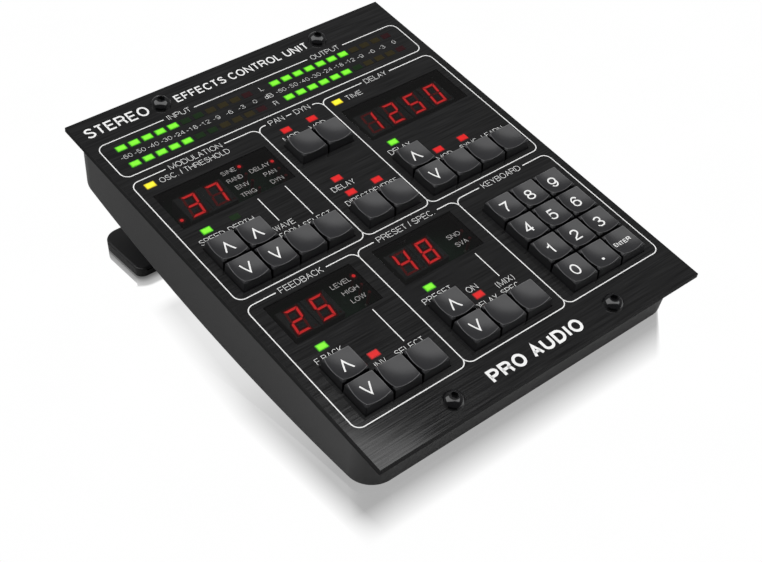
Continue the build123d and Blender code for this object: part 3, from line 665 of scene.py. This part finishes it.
def keycap_shell():
    foot = square_ring(KEY_HALF)
    count = len(foot)

    def circle(radius):
        angles = [math.atan2(y, x) for x, y in foot]
        return [(radius * math.cos(a), radius * math.sin(a)) for a in angles]

    # outlines and their heights: stem, hollow underside, skirt
    taper_z = SHOULDER - 0.55
    taper_share = (TAPER_TOP - taper_z) / (TAPER_TOP - TAPER_LOW)
    sections = [
        (circle(STEM_RADIUS - STEM_CHAMFER), STEM_LOW),
        (circle(STEM_RADIUS), STEM_LOW + STEM_CHAMFER),
        (circle(STEM_RADIUS), KEY_LOW),
        (circle(BOSS_RADIUS), KEY_LOW),
        (circle(BOSS_RADIUS), HOLLOW_TOP),
        (square_ring(HOLLOW_HALF), HOLLOW_TOP),
        (square_ring(HOLLOW_HALF), KEY_LOW),
        (square_ring(KEY_HALF - 0.10), KEY_LOW),
        (square_ring(KEY_HALF - 0.03), KEY_LOW + 0.03),
        (foot, KEY_LOW + 0.10),
        (foot, TAPER_LOW),
        (square_ring(SHOULDER_HALF + (KEY_HALF - SHOULDER_HALF) * taper_share), taper_z),
    ]
    # soft shoulder between the upright skirt and the sloping rim
    blend = 0.07
    for u in (0.0, 0.25, 0.5, 0.75, 1.0):
        z = bezier(TAPER_TOP, SHOULDER, SHOULDER + blend * (KEY_TOP - SHOULDER), u)
        sections.append((square_ring(SHOULDER_HALF - RIM_INSET * blend * u * u), z))
    rings = [[(x, y, z) for x, y in outline] for outline, z in sections]
    crest_start = len(rings)

    controls = [rim_controls(i) for i in range(count)]
    for u in (0.0, 0.2, 0.4, 0.6, 0.8, 1.0):
        rings.append([tuple(bezier(*points, u)) for points in controls])
    # the dish drifts from the square outline to a round one towards the middle
    for s in (0.96, 0.90, 0.82, 0.72, 0.60, 0.46, 0.30, 0.14):
        row = []
        for _, _, inside in controls:
            x, y = inside.x * s, inside.y * s
            radius = math.hypot(x, y)
            weight = (1 - s) ** 0.7
            round_radius = KEY_HALF * 0.93 * s
            k = ((1 - weight) * radius + weight * round_radius) / max(radius, 1e-9)
            row.append((x * k, y * k, dish(x * k, y * k)))
        rings.append(row)
    # the front face is drafted: the top sits a little further back than the foot
    rings = [[(x, y + LEAN * min(max(z, 0.0) / LEAN_HEIGHT, 1.0), z) for x, y, z in ring]
             for ring in rings]

    shell = Build()
    indices = [shell.ring(ring) for ring in rings]
    shell.face(indices[0][::-1])
    for k, (lower, upper) in enumerate(zip(indices, indices[1:])):
        for i in range(count):
            j = (i + 1) % count
            slot = TOP_SLOT
            # the sides take the matt side plastic, darkened as painted shade
            if k < crest_start:
                slot = SIDE_SLOT
            # the crest's lighter band: partly wear, partly a painted highlight
            elif k < crest_start + CREST_STEPS:
                slot = EDGE_SLOT
            # the corners of the shoulder keep the satin top plastic, without the sides' painted
            # shade
            if crest_start - 5 <= k < crest_start:
                across = abs(rings[k][i][0] + rings[k][j][0])
                along = abs(rings[k][i][1] + rings[k][j][1] - 2 * LEAN)
                if min(across, along) > 7.0:
                    slot = TOP_SLOT
            shell.face([lower[i], lower[j], upper[j], upper[i]], slot)
    centre = shell.ring([(0, LEAN, dish(0, 0))])[0]
    last = indices[-1]
    for i in range(count):
        shell.face([last[i], last[(i + 1) % count], centre])
    return shell


ARROW_HALF_WIDTH, ARROW_HALF_HEIGHT, ARROW_LINE = 1.75, 1.95, 0.53
ARROWS = {"up": (1, 0.19, 0.13), "down": (-1, 0.15, 0.69)}    # direction, centre x, centre y


def add_legend(build, legend):
    on_key = {"span": KEY_INK, "slot": INK_SLOT, "surface": key_surface}
    if legend in ARROWS:
        direction, x, y = ARROWS[legend]
        rise = ARROW_HALF_HEIGHT * direction
        points = [(x - ARROW_HALF_WIDTH, y - rise), (x, y + rise),
                  (x + ARROW_HALF_WIDTH, y - rise)]
        build.ribbon(subdivide(points, lambda length: 6), ARROW_LINE, **on_key)
    elif legend == ".":
        build.prism(rounded_box(0.28, -1.44, 0.97, 0.97, radius=0.3, count=4), **on_key)
    elif legend == "ENTER":
        text(build, legend, -0.20, 0.31, height=1.6, width=7.4, stroke=0.16, **on_key)
    elif legend:
        text(build, legend, 0.16, 0.37, height=4.42, width=3.32, stroke=0.120, **on_key)


def has_neighbour(x, y, step_x, step_y):
    return any(abs(other_x - x - step_x) < 0.6 and abs(other_y - y - step_y) < 0.6
               for _, other_x, other_y, _ in KEYS)


def flatten_ink_and_shade_key_sides(mesh, x, y):
    """Flat ink, and painted shade on the sides where the key faces a neighbour."""
    left, right, front, back = (
        has_neighbour(x, y, step_x, step_y) for step_x, step_y in
        ((-KEY_PITCH, 0), (KEY_PITCH, 0), (0, -KEY_PITCH), (0, KEY_PITCH)))
    for polygon in mesh.polygons:
        if polygon.material_index == INK_SLOT:
            polygon.use_smooth = False
        if polygon.material_index == SIDE_SLOT:
            nx, ny = polygon.normal.x, polygon.normal.y
            if abs(nx) > abs(ny):
                shaded = left if nx < 0 else right
            else:
                shaded = front if ny < 0 else back
            if shaded and math.hypot(nx, ny) > 0.5:
                polygon.material_index = SHADED_SLOT


shell = keycap_shell()
for key, x, y, legend in KEYS:
    cap = Build()
    cap.verts, cap.faces, cap.slots = list(shell.verts), list(shell.faces), list(shell.slots)
    add_legend(cap, legend)
    ob = cap.make("cap_" + key, KEY_MATERIALS, smooth=True, origin=(x, y))
    flatten_ink_and_shade_key_sides(ob.data, x, y)
    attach(ob, "key_" + key + "_cap")
    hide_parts("key_" + key)

# ---------------------------------------------------------------------------
# Outlines printed on the panel
# ---------------------------------------------------------------------------
OUTLINE_WIDTH, LEADER_WIDTH = 0.36, 0.32
BOX_CORNER = 2.9
BOX_EDGE = 64.2                          # outer sides of the boxes
METER_TOP, METER_FRONT = 69.7, 52.25
UPPER_TOP, UPPER_FRONT = 49.07, -11.39
LOWER_TOP, LOWER_FRONT = -14.57, -69.44
# y of the front and back lines, x of the sides, gaps for the headings in the back line
BOX_TIERS = (
    (METER_FRONT, METER_TOP, (-BOX_EDGE, BOX_EDGE), ((-37.79, 39.95),)),
    (UPPER_FRONT, UPPER_TOP, (-BOX_EDGE, -13.8, 13.8, BOX_EDGE),
     ((-50.58, -27.05), (-9.87, 10.28), (32.58, 45.37))),
    (LOWER_FRONT, LOWER_TOP, (-BOX_EDGE, -21.35, 21.35, BOX_EDGE),
     ((-52.42, -32.88), (-13.45, 13.66), (32.58, 52.94))),
)
# leader lines from lamps and windows to their labels: x, start y, end y
LEADERS = ((-33.09, 21.58, 9.87), (-22.04, 21.58, 6.30),
           (-31.66, -36.47, -51.62), (11.10, -36.47, -48.18))


def box_outline(build, x0, x1, y0, y1, gap, own_left):
    """Rounded outline with a heading gap; the left side may belong to the neighbour."""
    left, right, front, back = (x0 + BOX_CORNER, x1 - BOX_CORNER,
                                y0 + BOX_CORNER, y1 - BOX_CORNER)
    main = ([(gap[1], y1)] + arc(right, back, BOX_CORNER, 90, 0)
            + arc(right, front, BOX_CORNER, 0, -90) + arc(left, front, BOX_CORNER, 270, 180))
    back_left = arc(left, back, BOX_CORNER, 180, 90) + [(gap[0], y1)]
    for points in ([main + back_left] if own_left else [main, back_left]):
        build.ribbon(points, OUTLINE_WIDTH, PANEL_INK)


outlines = Build()
for front, back, sides, gaps in BOX_TIERS:
    for i, gap in enumerate(gaps):
        box_outline(outlines, sides[i], sides[i + 1], front, back, gap, own_left=i == 0)
    if back == METER_TOP:
        # the meter box has two headings: the line goes on between them
        outlines.ribbon([(-25.31, back), (23.78, back)], OUTLINE_WIDTH, PANEL_INK)
for x, start, end in LEADERS:
    outlines.ribbon([(x, start), (x, end)], LEADER_WIDTH, PANEL_INK)
# dash between the two headings of the middle box
outlines.ribbon([(-1.07, UPPER_TOP), (1.18, UPPER_TOP)], LEADER_WIDTH, PANEL_INK)
outlines.fix_to_unit("panel_outlines", "panel_black", ["ink_white"])

# ---------------------------------------------------------------------------
# Lettering on the panel and the windows
# ---------------------------------------------------------------------------
# capital height, then (words, centre x, centre y, width)
LABELS = (
    (2.35, (("INPUT", -31.66, 69.69, 9.31), ("OUTPUT", 31.76, 69.69, 12.79),
            ("MODULATION", -38.82, UPPER_TOP, 20.66), ("PAN", -5.37, UPPER_TOP, 6.14),
            ("DYN", 5.68, UPPER_TOP, 6.34), ("DELAY", 38.92, UPPER_TOP, 9.92),
            ("FEEDBACK", -42.81, LOWER_TOP, 16.67), ("PRESET / SPEC.", 0.05, LOWER_TOP, 24.04),
            ("KEYBOARD", 42.71, LOWER_TOP, 17.49))),
    (2.3, (("OSC. / THRESHOLD", -41.37, 45.51, 27.41), ("TIME", 26.14, 45.38, 6.96))),
    (2.1, (("L", 0.05, 65.36, 1.33), ("dB", 0.05, 60.91, 3.38), ("R", 0.05, 56.58, 1.64))),
    (2.3, (("SPEED", -55.39, 15.08, 9.51), ("DEPTH", -44.14, 15.08, 9.82),
           ("WAVE", -32.99, 7.32, 7.98), ("FORM", -32.99, 3.76, 7.88),
           ("SELECT", -22.04, 3.76, 11.05), ("MOD", -5.57, 39.65, 6.75),
           ("MOD", 5.68, 39.65, 6.75), ("DELAY", -5.57, 11.27, 9.21),
           ("DIRECT", -5.27, 3.76, 9.62), ("REVERSE", 5.99, 3.76, 11.66),
           ("DELAY", 22.35, 15.08, 9.62), ("MOD", 33.40, 3.76, 6.75),
           ("SYNC", 44.45, 3.76, 7.88), ("LEARN", 55.60, 3.76, 9.72),
           ("F.BACK", -53.85, -43.21, 10.02), ("INV.", -42.50, -54.16, 5.11),
           ("SELECT", -31.55, -54.16, 11.05), ("PRESET", -10.89, -43.21, 11.66),
           ("ON", 0.05, -47.16, 4.19), ("DELAY", 0.26, -54.16, 9.41),
           ("(MIX)", 11.10, -50.72, 7.26), ("SPEC.", 10.90, -54.16, 8.18))),
)
METER_SCALE = ("-60", "-50", "-40", "-30", "-24", "-18", "-12", "-9", "-6", "-3", "0")
METER_SCALE_Y = 61.04
METER_SCALE_X = (
    (-57.95, -52.83, -47.61, -42.40, -37.28, -32.17, -26.95, -21.94, -16.72, -11.51, -5.78),
    (5.47, 10.59, 15.81, 20.92, 26.14, 31.25, 36.57, 41.48, 46.80, 51.71, 57.54),
)
METER_SCALE_WIDTH = {3: 4.30, 2: 2.76, 1: 1.43}    # by number of characters
# words, centre x, centre y, capital height, width, stroke share
TITLES = (("STEREO", -51.60, 76.95, 4.75, 24.55, 0.15),
          ("EFFECTS CONTROL UNIT", 0.05, 76.44, 3.6, 57.28, 0.145),
          ("PRO AUDIO", 0.05, -77.07, 5.0, 38.87, 0.20))
# words, centre x, centre y, width
WINDOW_LEGENDS = (
    ("SINE", -33.80, 37.23, 5.63), ("RAND", -33.91, 33.29, 5.93), ("ENV", -33.50, 29.47, 5.01),
    ("TRIG", -33.80, 25.52, 5.73), ("DELAY", -23.88, 33.29, 7.88), ("PAN", -22.35, 29.47, 4.71),
    ("DYN", -22.35, 25.52, 4.81), ("LEVEL", -33.29, -22.47, 7.57), ("HIGH", -32.48, -26.41, 6.04),
    ("LOW", -32.27, -30.36, 5.52), ("SNO", 10.49, -26.41, 5.32), ("SVA", 10.69, -30.36, 4.91),
)

labels = Build()
for height, rows in LABELS:
    for words, x, y, width in rows:
        text(labels, words, x, y, height=height, width=width, stroke=0.067)
for columns in METER_SCALE_X:
    for words, x in zip(METER_SCALE, columns):
        text(labels, words, x, METER_SCALE_Y, height=1.8, width=METER_SCALE_WIDTH[len(words)],
             stroke=0.060)
labels.fix_to_unit("panel_labels", "panel_black", ["ink_white"])

titles = Build()
for words, x, y, height, width, stroke in TITLES:
    text(titles, words, x, y, height=height, width=width, stroke=stroke)
titles.fix_to_unit("panel_title", "panel_black", ["ink_white"])

legends = Build()
for words, x, y, width in WINDOW_LEGENDS:
    text(legends, words, x, y, height=1.8, width=width, stroke=0.080, span=WINDOW_INK)
legends.fix_to_unit("window_legends", "tinted_window", ["ink_grey"])

# ---------------------------------------------------------------------------
# Lit lenses
# ---------------------------------------------------------------------------
METER_PITCH, INPUT_X, OUTPUT_X = 5.13, -57.3, 6.0
METER_L, METER_R = 65.4, 56.7            # y of the two meter rows


def meter(x, y, count):
    return [(x + METER_PITCH * k, y) for k in range(count)]


LIT_LAMPS = {
    "green": [(x, y) for x, _ in meter(INPUT_X, METER_L, 5) for y in (METER_L, METER_R)]
             + meter(OUTPUT_X, METER_L, 7) + meter(OUTPUT_X, METER_R, 6)
             + [(-55.1, 18.78), (22.3, 18.78), (-53.6, -39.27), (-10.9, -39.27)],
    "red": [(-5.3, 43.34), (5.75, 43.34), (-5.3, 15.08), (-5.3, 7.4), (5.75, 7.4),
            (33.4, 7.4), (44.5, 7.4), (-42.5, -50.4), (0.2, -50.4)],
    "yellow": [(-58.8, 45.5), (18.7, 45.5)],
}
# offset in x and y, width, height, corner radius, span, material slot:
# the lens, its brighter middle, and light caught by the rim of the opening
LAMP_LAYERS = ((0, 3.46, 2.27, 0.18, (0.03, 0.080), 0),
               (0.05, 2.7, 1.5, 0.30, (0.05, 0.085), 2),
               (0, 3.98, 2.78, 0.30, (-0.01, 0.015), 1))

for colour, places in LIT_LAMPS.items():
    lamps = Build()
    for x, y in places:
        for offset, width, height, radius, span, slot in LAMP_LAYERS:
            outline = rounded_box(x + offset, y + offset, width, height, radius, count=3)
            lamps.prism(outline, span, slot)
    lens = "lens_" + colour
    lamps.fix_to_unit("lit_" + colour, lens, [lens + "_lit", lens + "_spill", lens + "_middle"])

# ---------------------------------------------------------------------------
# Seven-segment digits and lit dots, under the windows
# ---------------------------------------------------------------------------
# segments: a top, b and c right, d bottom, e and f left, g middle
SEGMENTS = {"0": "abcdef", "1": "bc", "2": "abged", "3": "abgcd", "4": "fgbc", "5": "afgcd",
            "7": "abc", "8": "abcdefg"}
DIGIT_WIDTH, DIGIT_HEIGHT, DIGIT_SLANT = 5.05, 9.6, 0.15
DIGIT_OFFSET = -0.12             # strokes sit left of the listed place
BAR_HALF, UPRIGHT_HALF = 0.42, 0.43
CORNER_GAP, MIDDLE_GAP = 0.15, 0.14
DIGIT_LOW, DIGIT_HIGH = -1.455, -1.40
NEAR_SPAN, FAR_SPAN = (DIGIT_LOW, DIGIT_LOW + 0.022), (DIGIT_LOW, DIGIT_LOW + 0.012)
LIT_SLOT, DOT_SLOT, NEAR_SLOT, FAR_SLOT, POINT_SLOT = range(5)
DIGITS = (
    (-51.26, 31.6, "3"), (-42.0, 31.6, "7"),
    (23.76, 31.6, "1"), (33.45, 31.6, "2"), (43.15, 31.6, "5"), (52.85, 31.6, "0"),
    (-52.6, -26.2, "2"), (-43.1, -26.2, "5"), (-9.5, -26.2, "4"), (-0.15, -26.2, "8"),
)
LIT_DOTS = ((-28.5, 38.4), (-17.65, 34.6), (-58.35, 27.9), (-27.0, -21.4))
# radius, span, material slot: the dot and its near and far spill
DOT_LAYERS = ((0.62, (DIGIT_LOW, DIGIT_HIGH), DOT_SLOT), (1.0, NEAR_SPAN, NEAR_SLOT),
              (1.4, FAR_SPAN, FAR_SLOT))


def segment(build, cx, cy, which, span, grow=0.0, slot=0):
    """One bar of a digit: mitred where bars meet at a corner, pointed in the middle."""
    half_w, half_h = DIGIT_WIDTH / 2 + grow, DIGIT_HEIGHT / 2 + grow
    bar, upright = BAR_HALF + grow, UPRIGHT_HALF + grow
    if which in "ad":
        outer = half_w - CORNER_GAP
        inner = outer - 2 * bar + 2 * grow
        outline = [(-inner, half_h - 2 * bar), (inner, half_h - 2 * bar),
                   (outer, half_h), (-outer, half_h)]
    elif which == "g":
        tip = half_w - UPRIGHT_HALF - MIDDLE_GAP
        outline = [(-tip, 0), (-tip + bar, -bar), (tip - bar, -bar),
                   (tip, 0), (tip - bar, bar), (-tip + bar, bar)]
    else:
        low, high = MIDDLE_GAP - grow, half_h - CORNER_GAP
        outline = [(half_w - 2 * upright, low + upright), (half_w - upright, low),
                   (half_w, low + upright), (half_w, high),
                   (half_w - 2 * upright, high - 2 * upright)]
    # mirrored outlines are reversed to stay counter-clockwise
    if which in "cde":
        outline = [(x, -y) for x, y in outline[::-1]]
    if which in "ef":
        outline = [(-x, y) for x, y in outline[::-1]]
    build.prism([(cx + x + DIGIT_SLANT * y, cy + y) for x, y in outline], span, slot)


lit, dark = Build(), Build()
for x, y, figure in DIGITS:
    for which in "abcdefg":
        is_lit = which in SEGMENTS[figure]
        add_bar = partial(segment, lit if is_lit else dark, x + DIGIT_OFFSET, y, which)
        add_bar((DIGIT_LOW + 0.03, DIGIT_HIGH))
        if is_lit:
            add_bar(NEAR_SPAN, grow=0.36, slot=NEAR_SLOT)
            add_bar(FAR_SPAN, grow=0.75, slot=FAR_SLOT)
    point = disc(x + 3.45, y - 4.6, radius=0.45, count=12)
    dark.prism(point, (DIGIT_LOW, DIGIT_HIGH), POINT_SLOT)
for x, y in LIT_DOTS:
    for radius, span, slot in DOT_LAYERS:
        lit.prism(disc(x, y, radius, count=20), span, slot)
for build, name, bar_material in ((lit, "segments_lit", "segment_lit"),
                                  (dark, "segments_dark", "segment_dark")):
    build.fix_to_unit(name, "digit_plastic", [bar_material, "dot_lit", "segment_spill_near",
                                              "segment_spill_far", "decimal_point_dark"])

# Smooth shading for the CAD pieces, broken at sharp edges
for name in ("case_shell", "tilt_stand", "stand_sole", "panel_screws", "base_plate",
             "front_foot_strip", "usb_socket", "stand_magnets"):
    mesh = nodes[name].data
    for polygon in mesh.polygons:
        polygon.use_smooth = True
    mesh.set_sharp_from_angle(angle=math.radians(25))


# ---------------------------------------------------------------------------
# Floor: to the camera plain white with a mirror patch under the unit, to every other
# ray a matt tabletop. Lengths in m.
# ---------------------------------------------------------------------------
def unit_reflection(tree, x, y, side):
    """Mirror strength under the unit; side is the distance from the middle line."""
    calc = partial(math_node, tree)
    # half width of the patch: 0.070 at the back, 0.0075 more over 0.060 towards the front
    widening = calc("DIVIDE", calc("SUBTRACT", 0.035, y), 0.060, clamp=True)
    half_width = calc("ADD", 0.0700, calc("MULTIPLY", widening, 0.0075))
    across = calc("DIVIDE", calc("SUBTRACT", half_width, side), 0.008, clamp=True)
    # fade from front to back, over y = -0.100 to 0.100
    depth = calc("DIVIDE", calc("ADD", y, 0.100), 0.200, clamp=True)
    along = grey_ramp(tree, depth, [
        (0.0530, 0.0), (0.1100, 1.0), (0.20, 0.98), (0.36, 0.68), (0.435, 0.47),
        (0.515, 0.36), (0.60, 0.32), (0.665, 0.36), (0.690, 0.0)])
    # slanting cut through the front right corner, softened over 0.0016
    cut = calc("ADD", calc("MULTIPLY", calc("SUBTRACT", x, 0.0588), 0.662),
               calc("MULTIPLY", calc("ADD", y, 0.0766), -0.750))
    kept = calc("DIVIDE", calc("SUBTRACT", 0.0008, cut), 0.0016, clamp=True)
    patch = calc("MULTIPLY", calc("MULTIPLY", across, along), kept)
    return calc("MULTIPLY", patch, 0.60)


def stand_reflection_and_contact_shadow(tree, y, side):
    """Short reflection around the stand's foot, strongest where it touches, which darkens the
    floor there as a painted contact shadow.
    """
    calc = partial(math_node, tree)
    # distance outside the foot: half width 0.0606, y from 0.0547 to 0.0744, rounded by 0.003
    off_x = calc("MAXIMUM", calc("SUBTRACT", side, 0.0606), 0.0)
    off_y = calc("MAXIMUM", calc("MAXIMUM", calc("SUBTRACT", 0.0547, y),
                                 calc("SUBTRACT", y, 0.0744)), 0.0)
    squares = calc("ADD", calc("MULTIPLY", off_x, off_x), calc("MULTIPLY", off_y, off_y))
    away = calc("MAXIMUM", calc("SUBTRACT", calc("SQRT", squares), 0.0030), 0.0)
    # the rise towards the foot is a painted contact shadow
    return grey_ramp(tree, calc("DIVIDE", away, 0.010, clamp=True), [
        (0.0, 0.85), (0.12, 0.72), (0.25, 0.55), (0.40, 0.45), (0.50, 0.0)])


def tabletop(tree, x, y):
    """Matt floor that darkens in a wedge opening towards the camera."""
    calc = partial(math_node, tree)
    from_x, from_y = calc("ADD", x, 0.067), calc("ADD", y, 0.083)    # from the wedge's tip
    distance = calc("SQRT", calc("ADD", calc("MULTIPLY", from_x, from_x),
                                 calc("MULTIPLY", from_y, from_y)))
    toward = calc("ADD", calc("MULTIPLY", from_x, -0.639), calc("MULTIPLY", from_y, -0.769))
    wedge = grey_ramp(tree, calc("DIVIDE", toward, distance), [(0.30, 0.0), (0.75, 1.0)])
    # outside the wedge: grey from front to back, over y = -0.15 to 0.15
    depth = calc("DIVIDE", calc("ADD", y, 0.15), 0.30, clamp=True)
    open_side = grey_ramp(tree, depth, [(0.0, 0.95), (0.22, 0.80), (0.45, 0.55), (0.80, 0.42)])
    shade = add_node(tree, "ShaderNodeMix",
                     {0: wedge, 6: open_side, 7: (0.14, 0.14, 0.14, 1)}, data_type="RGBA")
    return add_node(tree, "ShaderNodeBsdfDiffuse", {"Color": shade.outputs[2]})


def floor_material():
    tree = new_material("floor_white")
    geometry = add_node(tree, "ShaderNodeNewGeometry")
    position = geometry.outputs["Position"]
    x, y, _ = add_node(tree, "ShaderNodeSeparateXYZ", {0: position}).outputs
    side = math_node(tree, "ABSOLUTE", x)
    mask = math_node(tree, "MAXIMUM", unit_reflection(tree, x, y, side),
                     stand_reflection_and_contact_shadow(tree, y, side))
    cloud = noise(tree, position, scale=25.0, detail=3.0)
    white = add_node(tree, "ShaderNodeEmission",
                     {0: grey_ramp(tree, cloud, [(0.3, 0.995), (0.7, 1.0)])})
    mirror = add_node(tree, "ShaderNodeBsdfGlossy", {"Color": (1, 1, 1, 1), "Roughness": 0.0})
    seen = mix_shaders(tree, mask, white, mirror)
    camera_ray = add_node(tree, "ShaderNodeLightPath").outputs["Is Camera Ray"]
    top = mix_shaders(tree, camera_ray, tabletop(tree, x, y), seen)
    clear = add_node(tree, "ShaderNodeBsdfTransparent")
    output(tree, mix_shaders(tree, geometry.outputs["Backfacing"], top, clear))


FLOOR_HALF = 40.0
floor_material()
mesh = bpy.data.meshes.new("floor")
mesh.from_pydata([(sx * FLOOR_HALF, sy * FLOOR_HALF, 0)
                  for sx, sy in ((-1, -1), (1, -1), (1, 1), (-1, 1))], [], [(0, 1, 2, 3)])
mesh.materials.append(MATERIALS["floor_white"])
floor = bpy.data.objects.new("floor", mesh)
scene.collection.objects.link(floor)

# ---------------------------------------------------------------------------
# World: white to the camera and in mirrors, a dim studio to every other ray
# ---------------------------------------------------------------------------
STUDIO_REAR, STUDIO_SIDE, STUDIO_FRONT = 0.20, 0.22, 0.05    # front is the camera's side

world = bpy.data.worlds.new("studio")
scene.world = world
world.use_nodes = True
tree = world.node_tree
tree.nodes.clear()
calc = partial(math_node, tree)
direction = add_node(tree, "ShaderNodeTexCoord").outputs["Generated"]
x, y, _ = add_node(tree, "ShaderNodeSeparateXYZ", {0: direction}).outputs
toward = calc("ADD", calc("MULTIPLY", x, -0.643), calc("MULTIPLY", y, -0.766))
studio = grey_ramp(tree, calc("ADD", calc("MULTIPLY", toward, 0.5), 0.5), [
    (0.0, STUDIO_REAR), (0.45, STUDIO_SIDE), (0.75, STUDIO_FRONT), (1.0, STUDIO_FRONT)])
dim = add_node(tree, "ShaderNodeBackground", {0: studio, 1: 1.0})
white = add_node(tree, "ShaderNodeBackground", {0: (1, 1, 1, 1), 1: 1.0})
ray = add_node(tree, "ShaderNodeLightPath").outputs
seen = calc("MAXIMUM", ray["Is Camera Ray"],
            calc("MULTIPLY", ray["Is Singular Ray"], ray["Is Glossy Ray"]))
backdrop = mix_shaders(tree, seen, dim, white)
add_node(tree, "ShaderNodeOutputWorld", {0: backdrop.outputs[0]})

# ---------------------------------------------------------------------------
# Light: one long overhead softbox, square to the camera
# ---------------------------------------------------------------------------
SOFTBOX_HEIGHT = 8.0         # its size and place scale with this
SOFTBOX_RADIANCE = 3.0

softbox = bpy.data.lights.new("overhead_softbox", "AREA")
softbox.shape = "RECTANGLE"
softbox.size = 3.3 * SOFTBOX_HEIGHT
softbox.size_y = 1.230 * SOFTBOX_HEIGHT
softbox.energy = SOFTBOX_RADIANCE * math.pi * softbox.size * softbox.size_y
ob = bpy.data.objects.new("overhead_softbox", softbox)
ob.location = (0.060 * SOFTBOX_HEIGHT, -0.162 * SOFTBOX_HEIGHT, SOFTBOX_HEIGHT)
ob.rotation_euler = (0, 0, math.radians(-39.7))
ob.visible_camera = False
scene.collection.objects.link(ob)

# ---------------------------------------------------------------------------
# Camera, placed in the panel frame
# ---------------------------------------------------------------------------
CAMERA_PLACE = (-233.74, -230.27, 319.59)
CAMERA_RIGHT = (0.76874597, -0.62949365, 0.11299282)
CAMERA_DOWN = (-0.41220028, -0.62275607, -0.66503068)
CAMERA_FORWARD = (0.48899956, 0.46466398, -0.73821868)

camera = bpy.data.cameras.new("camera")
camera.lens = 65.33
camera.sensor_width = 36.0
camera.shift_x, camera.shift_y = -0.00078740, 0.00072178
camera.clip_start, camera.clip_end = 0.01, 50
ob = bpy.data.objects.new("camera", camera)
scene.collection.objects.link(ob)
axes = (turned(*CAMERA_RIGHT), -turned(*CAMERA_DOWN), -turned(*CAMERA_FORWARD))
rotation = Matrix(axes).transposed()
ob.matrix_world = Matrix.Translation(to_world(*CAMERA_PLACE)) @ rotation.to_4x4()
scene.camera = ob

scene.view_settings.view_transform = "Standard"
scene.view_settings.look = "None"
